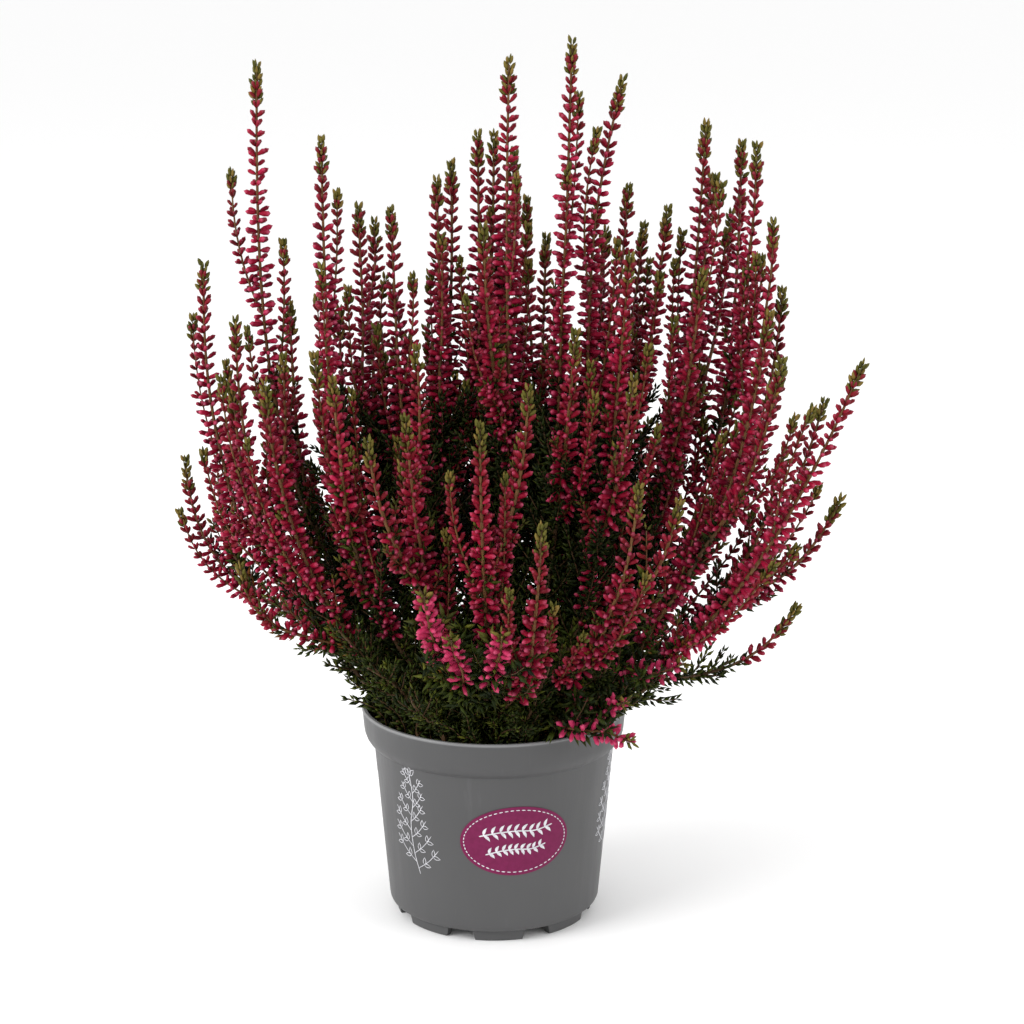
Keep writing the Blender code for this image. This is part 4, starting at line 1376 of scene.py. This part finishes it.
# A leaf as one stroke: its line, and how wide the ink is at each point of it.
def filledLeaf(foot, angle, length, width):
    line, widths = [], []
    for k in range(9):
        t = k / 8.0
        line.append(headed(foot, angle, length * t, 0.10 * length * math.sin(math.pi * t)))
        widths.append(max(0.08, math.sin(math.pi * t ** 0.85)) * width)
    return line, widths


def onOval(inset, turn):
    return ((printPlan["labelHalfWide"] - inset) * math.cos(turn),
            (printPlan["labelHalfHigh"] - inset) * math.sin(turn))


def makeLabel():
    turnDegrees, high, sides = printPlan["labelTurn"], printPlan["labelHigh"], printPlan["labelSides"]
    outline = [onOval(0.0, math.tau * k / sides) for k in range(sides)]
    patch = printedPatch("labelPatch", turnDegrees, high, outline, printPlan["labelRings"], labelFinish)
    strokes = []
    for k in range(printPlan["dashes"]):
        dash = [onOval(printPlan["borderIn"], math.tau * (k + 0.62 * step / 3.0) / printPlan["dashes"])
                for step in range(4)]
        strokes.append((dash, printPlan["dashWidth"]))
    for lift, size in ((0.0042, 1.0), (-0.0046, 0.82)):
        stem = smoothLine([(-0.0165 * size, lift - 0.0016), (-0.0080 * size, lift + 0.0002),
                           (0.0, lift + 0.0008), (0.0085 * size, lift + 0.0004),
                           (0.0165 * size, lift + 0.0022)], 10)
        strokes.append((stem, printPlan["sprayWidth"]))
        for k in range(3, len(stem) - 2, 4):
            heading = math.atan2(stem[k + 1][1] - stem[k][1], stem[k + 1][0] - stem[k][0])
            for side in (-1.0, 1.0):
                leaf = filledLeaf(stem[k], heading + side * 0.98, 0.0040 * size, printPlan["leafWidth"])
                strokes.append(leaf)
    proud = printPlan["thick"] + printPlan["inkProud"]
    return patch, inkPiece("labelInk", turnDegrees, high, strokes, proud, whiteInk)


# One side twig of a line sprig, as its line.
def twigLine(spot, angle, reach):
    across, up = reach * math.cos(angle), reach * math.sin(angle)
    elbow = (spot[0] + 0.5 * across, spot[1] + 0.5 * up)
    return smoothLine([spot, elbow, (spot[0] + 0.94 * across, spot[1] + 1.15 * up)], 5)


# Line sprigs: a stem with side twigs, and small open leaves along each.
def makeSprigInk():
    pieces = []
    width = printPlan["inkWidth"]
    leafWidth = width * 0.8
    for number, turn in enumerate(printPlan["sprigTurns"]):
        stem = smoothLine([(0.0030, -0.0235), (0.0002, -0.0130), (-0.0006, 0.0), (0.0018, 0.0120),
                           (0.0008, 0.0235)], 12)
        strokes = [(stem, width)]
        for k in range(4, len(stem) - 4, 7):
            share = k / len(stem)
            for side in (-1.0, 1.0):
                angle = math.pi / 2.0 + side * (0.95 - 0.30 * share)
                twig = twigLine(stem[k + (3 if side > 0 else 0)], angle, 0.0165 * (1.0 - 0.60 * share))
                strokes.append((twig, width * 0.85))
                for j in range(3, len(twig), 4):
                    for way in (-1.0, 1.0):
                        leaf = leafLoop(twig[j], angle + way * 0.8, 0.0034 * (1.1 - 0.4 * share), 0.0008)
                        strokes.append((leaf, leafWidth))
        for way in (-0.7, 0.0, 0.7):
            strokes.append((leafLoop(stem[-1], math.pi / 2.0 + way, 0.0042, 0.0010), leafWidth))
        pieces.append(inkPiece("sprigInk%d" % number, turn, printPlan["sprigHigh"], strokes,
                               printPlan["sprigProud"], whiteInk))
    return joined("sprigInk", pieces)


labelPatch, labelInk = makeLabel()
sprigInk = makeSprigInk()
for piece in (labelPatch, labelInk, sprigInk):
    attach(piece, "root")
print("print made")


# Compost: the solid's own form with a crumbly top, and crumbs strewn on it by nodes.
soilPlan = {"seed": 3, "density": 70000.0, "topFrom": 0.0895, "waves": 14, "waveLift": 0.00016, "rings": 24,
            "turns": 96, "edge": 0.0572, "edgeFade": 0.004, "crumbSunk": 0.0006}
crumbShape = {"profile": [(0.35, 0.0), (0.75, 0.4), (0.6, 0.9), (0.0, 1.3)], "sides": 5, "squash": 0.8}


def makeSoil():
    wall = potShape["wall"]
    innerTop, innerFoot = potShape["bodyTop"] - wall, potShape["bodyFoot"] - wall
    profile = [(0.0, 0.0075), (innerFoot - 0.0034, 0.0075), (innerFoot - 0.0006, 0.0102),
               (innerTop - 0.0006, 0.0802), (0.0562, 0.0846), (0.0573, 0.0878)]
    for k in range(soilPlan["rings"] + 1):
        out = stemPlan["domeReach"] * (1.0 - k / soilPlan["rings"])
        profile.append((out * mm, soilHeight(out) * mm))
    soil = turned("compost", profile, soilPlan["turns"])
    count = soilPlan["waves"]
    rng = np.random.default_rng(soilPlan["seed"])
    waves = rng.uniform(180.0, 900.0, (count, 2)) * rng.choice([-1.0, 1.0], (count, 2))
    phases = rng.uniform(0.0, math.tau, count)
    for vertex in soil.data.vertices:
        x, y, z = vertex.co
        if z > soilPlan["topFrom"]:
            lift = sum(math.sin(waves[k][0] * x + waves[k][1] * y + phases[k]) for k in range(count))
            fade = min(1.0, (soilPlan["edge"] - math.hypot(x, y)) / soilPlan["edgeFade"])
            vertex.co.z += soilPlan["waveLift"] * lift * fade
    tidyNormals(soil)
    shadeSmooth(soil)
    soil.data.materials.clear()
    soil.data.materials.append(soilFinish)
    return soil


def makeCrumbTree():
    tree = Tree("strewnCrumbs", {"Density": 90000.0, "Top From": 0.09, "Size": 1.0, "Part": "object",
                                 "Finish": "material", "Seed": 1})
    place = tree.add("GeometryNodeInputPosition").outputs[0]
    height = tree.add("ShaderNodeSeparateXYZ", {0: place}).outputs["Z"]
    top = tree.math("GREATER_THAN", height, tree.given["Top From"])
    feeds = {"Mesh": tree.given["Geometry"], "Selection": top, "Density": tree.given["Density"],
             "Seed": tree.given["Seed"]}
    spots = tree.add("GeometryNodeDistributePointsOnFaces", feeds, distribute_method="RANDOM")
    anyTurn = {0: (0.0, 0.0, 0.0), 1: (6.28, 6.28, 6.28)}
    turn = tree.add("FunctionNodeRandomValue", anyTurn, data_type="FLOAT_VECTOR").outputs[0]
    size = tree.times(tree.chance(0.4, 1.6, 6.0), tree.given["Size"])
    tree.close(tree.placeParts(spots.outputs["Points"], turn, size))
    return tree


soil = makeSoil()
crumbPart = spindle("crumbPart", crumbShape, soilFinish)
crumbPart.data.transform(Matrix.Translation((0.0, 0.0, -soilPlan["crumbSunk"])))
crumbs = grow("crumbs", soil.data, makeCrumbTree(), {
    "Density": soilPlan["density"], "Top From": soilPlan["topFrom"], "Size": 1.0, "Part": crumbPart,
    "Finish": soilFinish, "Seed": soilPlan["seed"]})
bpy.data.objects.remove(crumbPart, do_unlink=True)
compost = joined("compostTop", [soil, crumbs])
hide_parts("soil")
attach(compost, "root")
print("compost made", len(compost.data.polygons))

total = 0
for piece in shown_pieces():
    piece.data.calc_loop_triangles()
    total += len(piece.data.loop_triangles)
    print("piece", piece.name, len(piece.data.loop_triangles))
print("triangles in all", total)
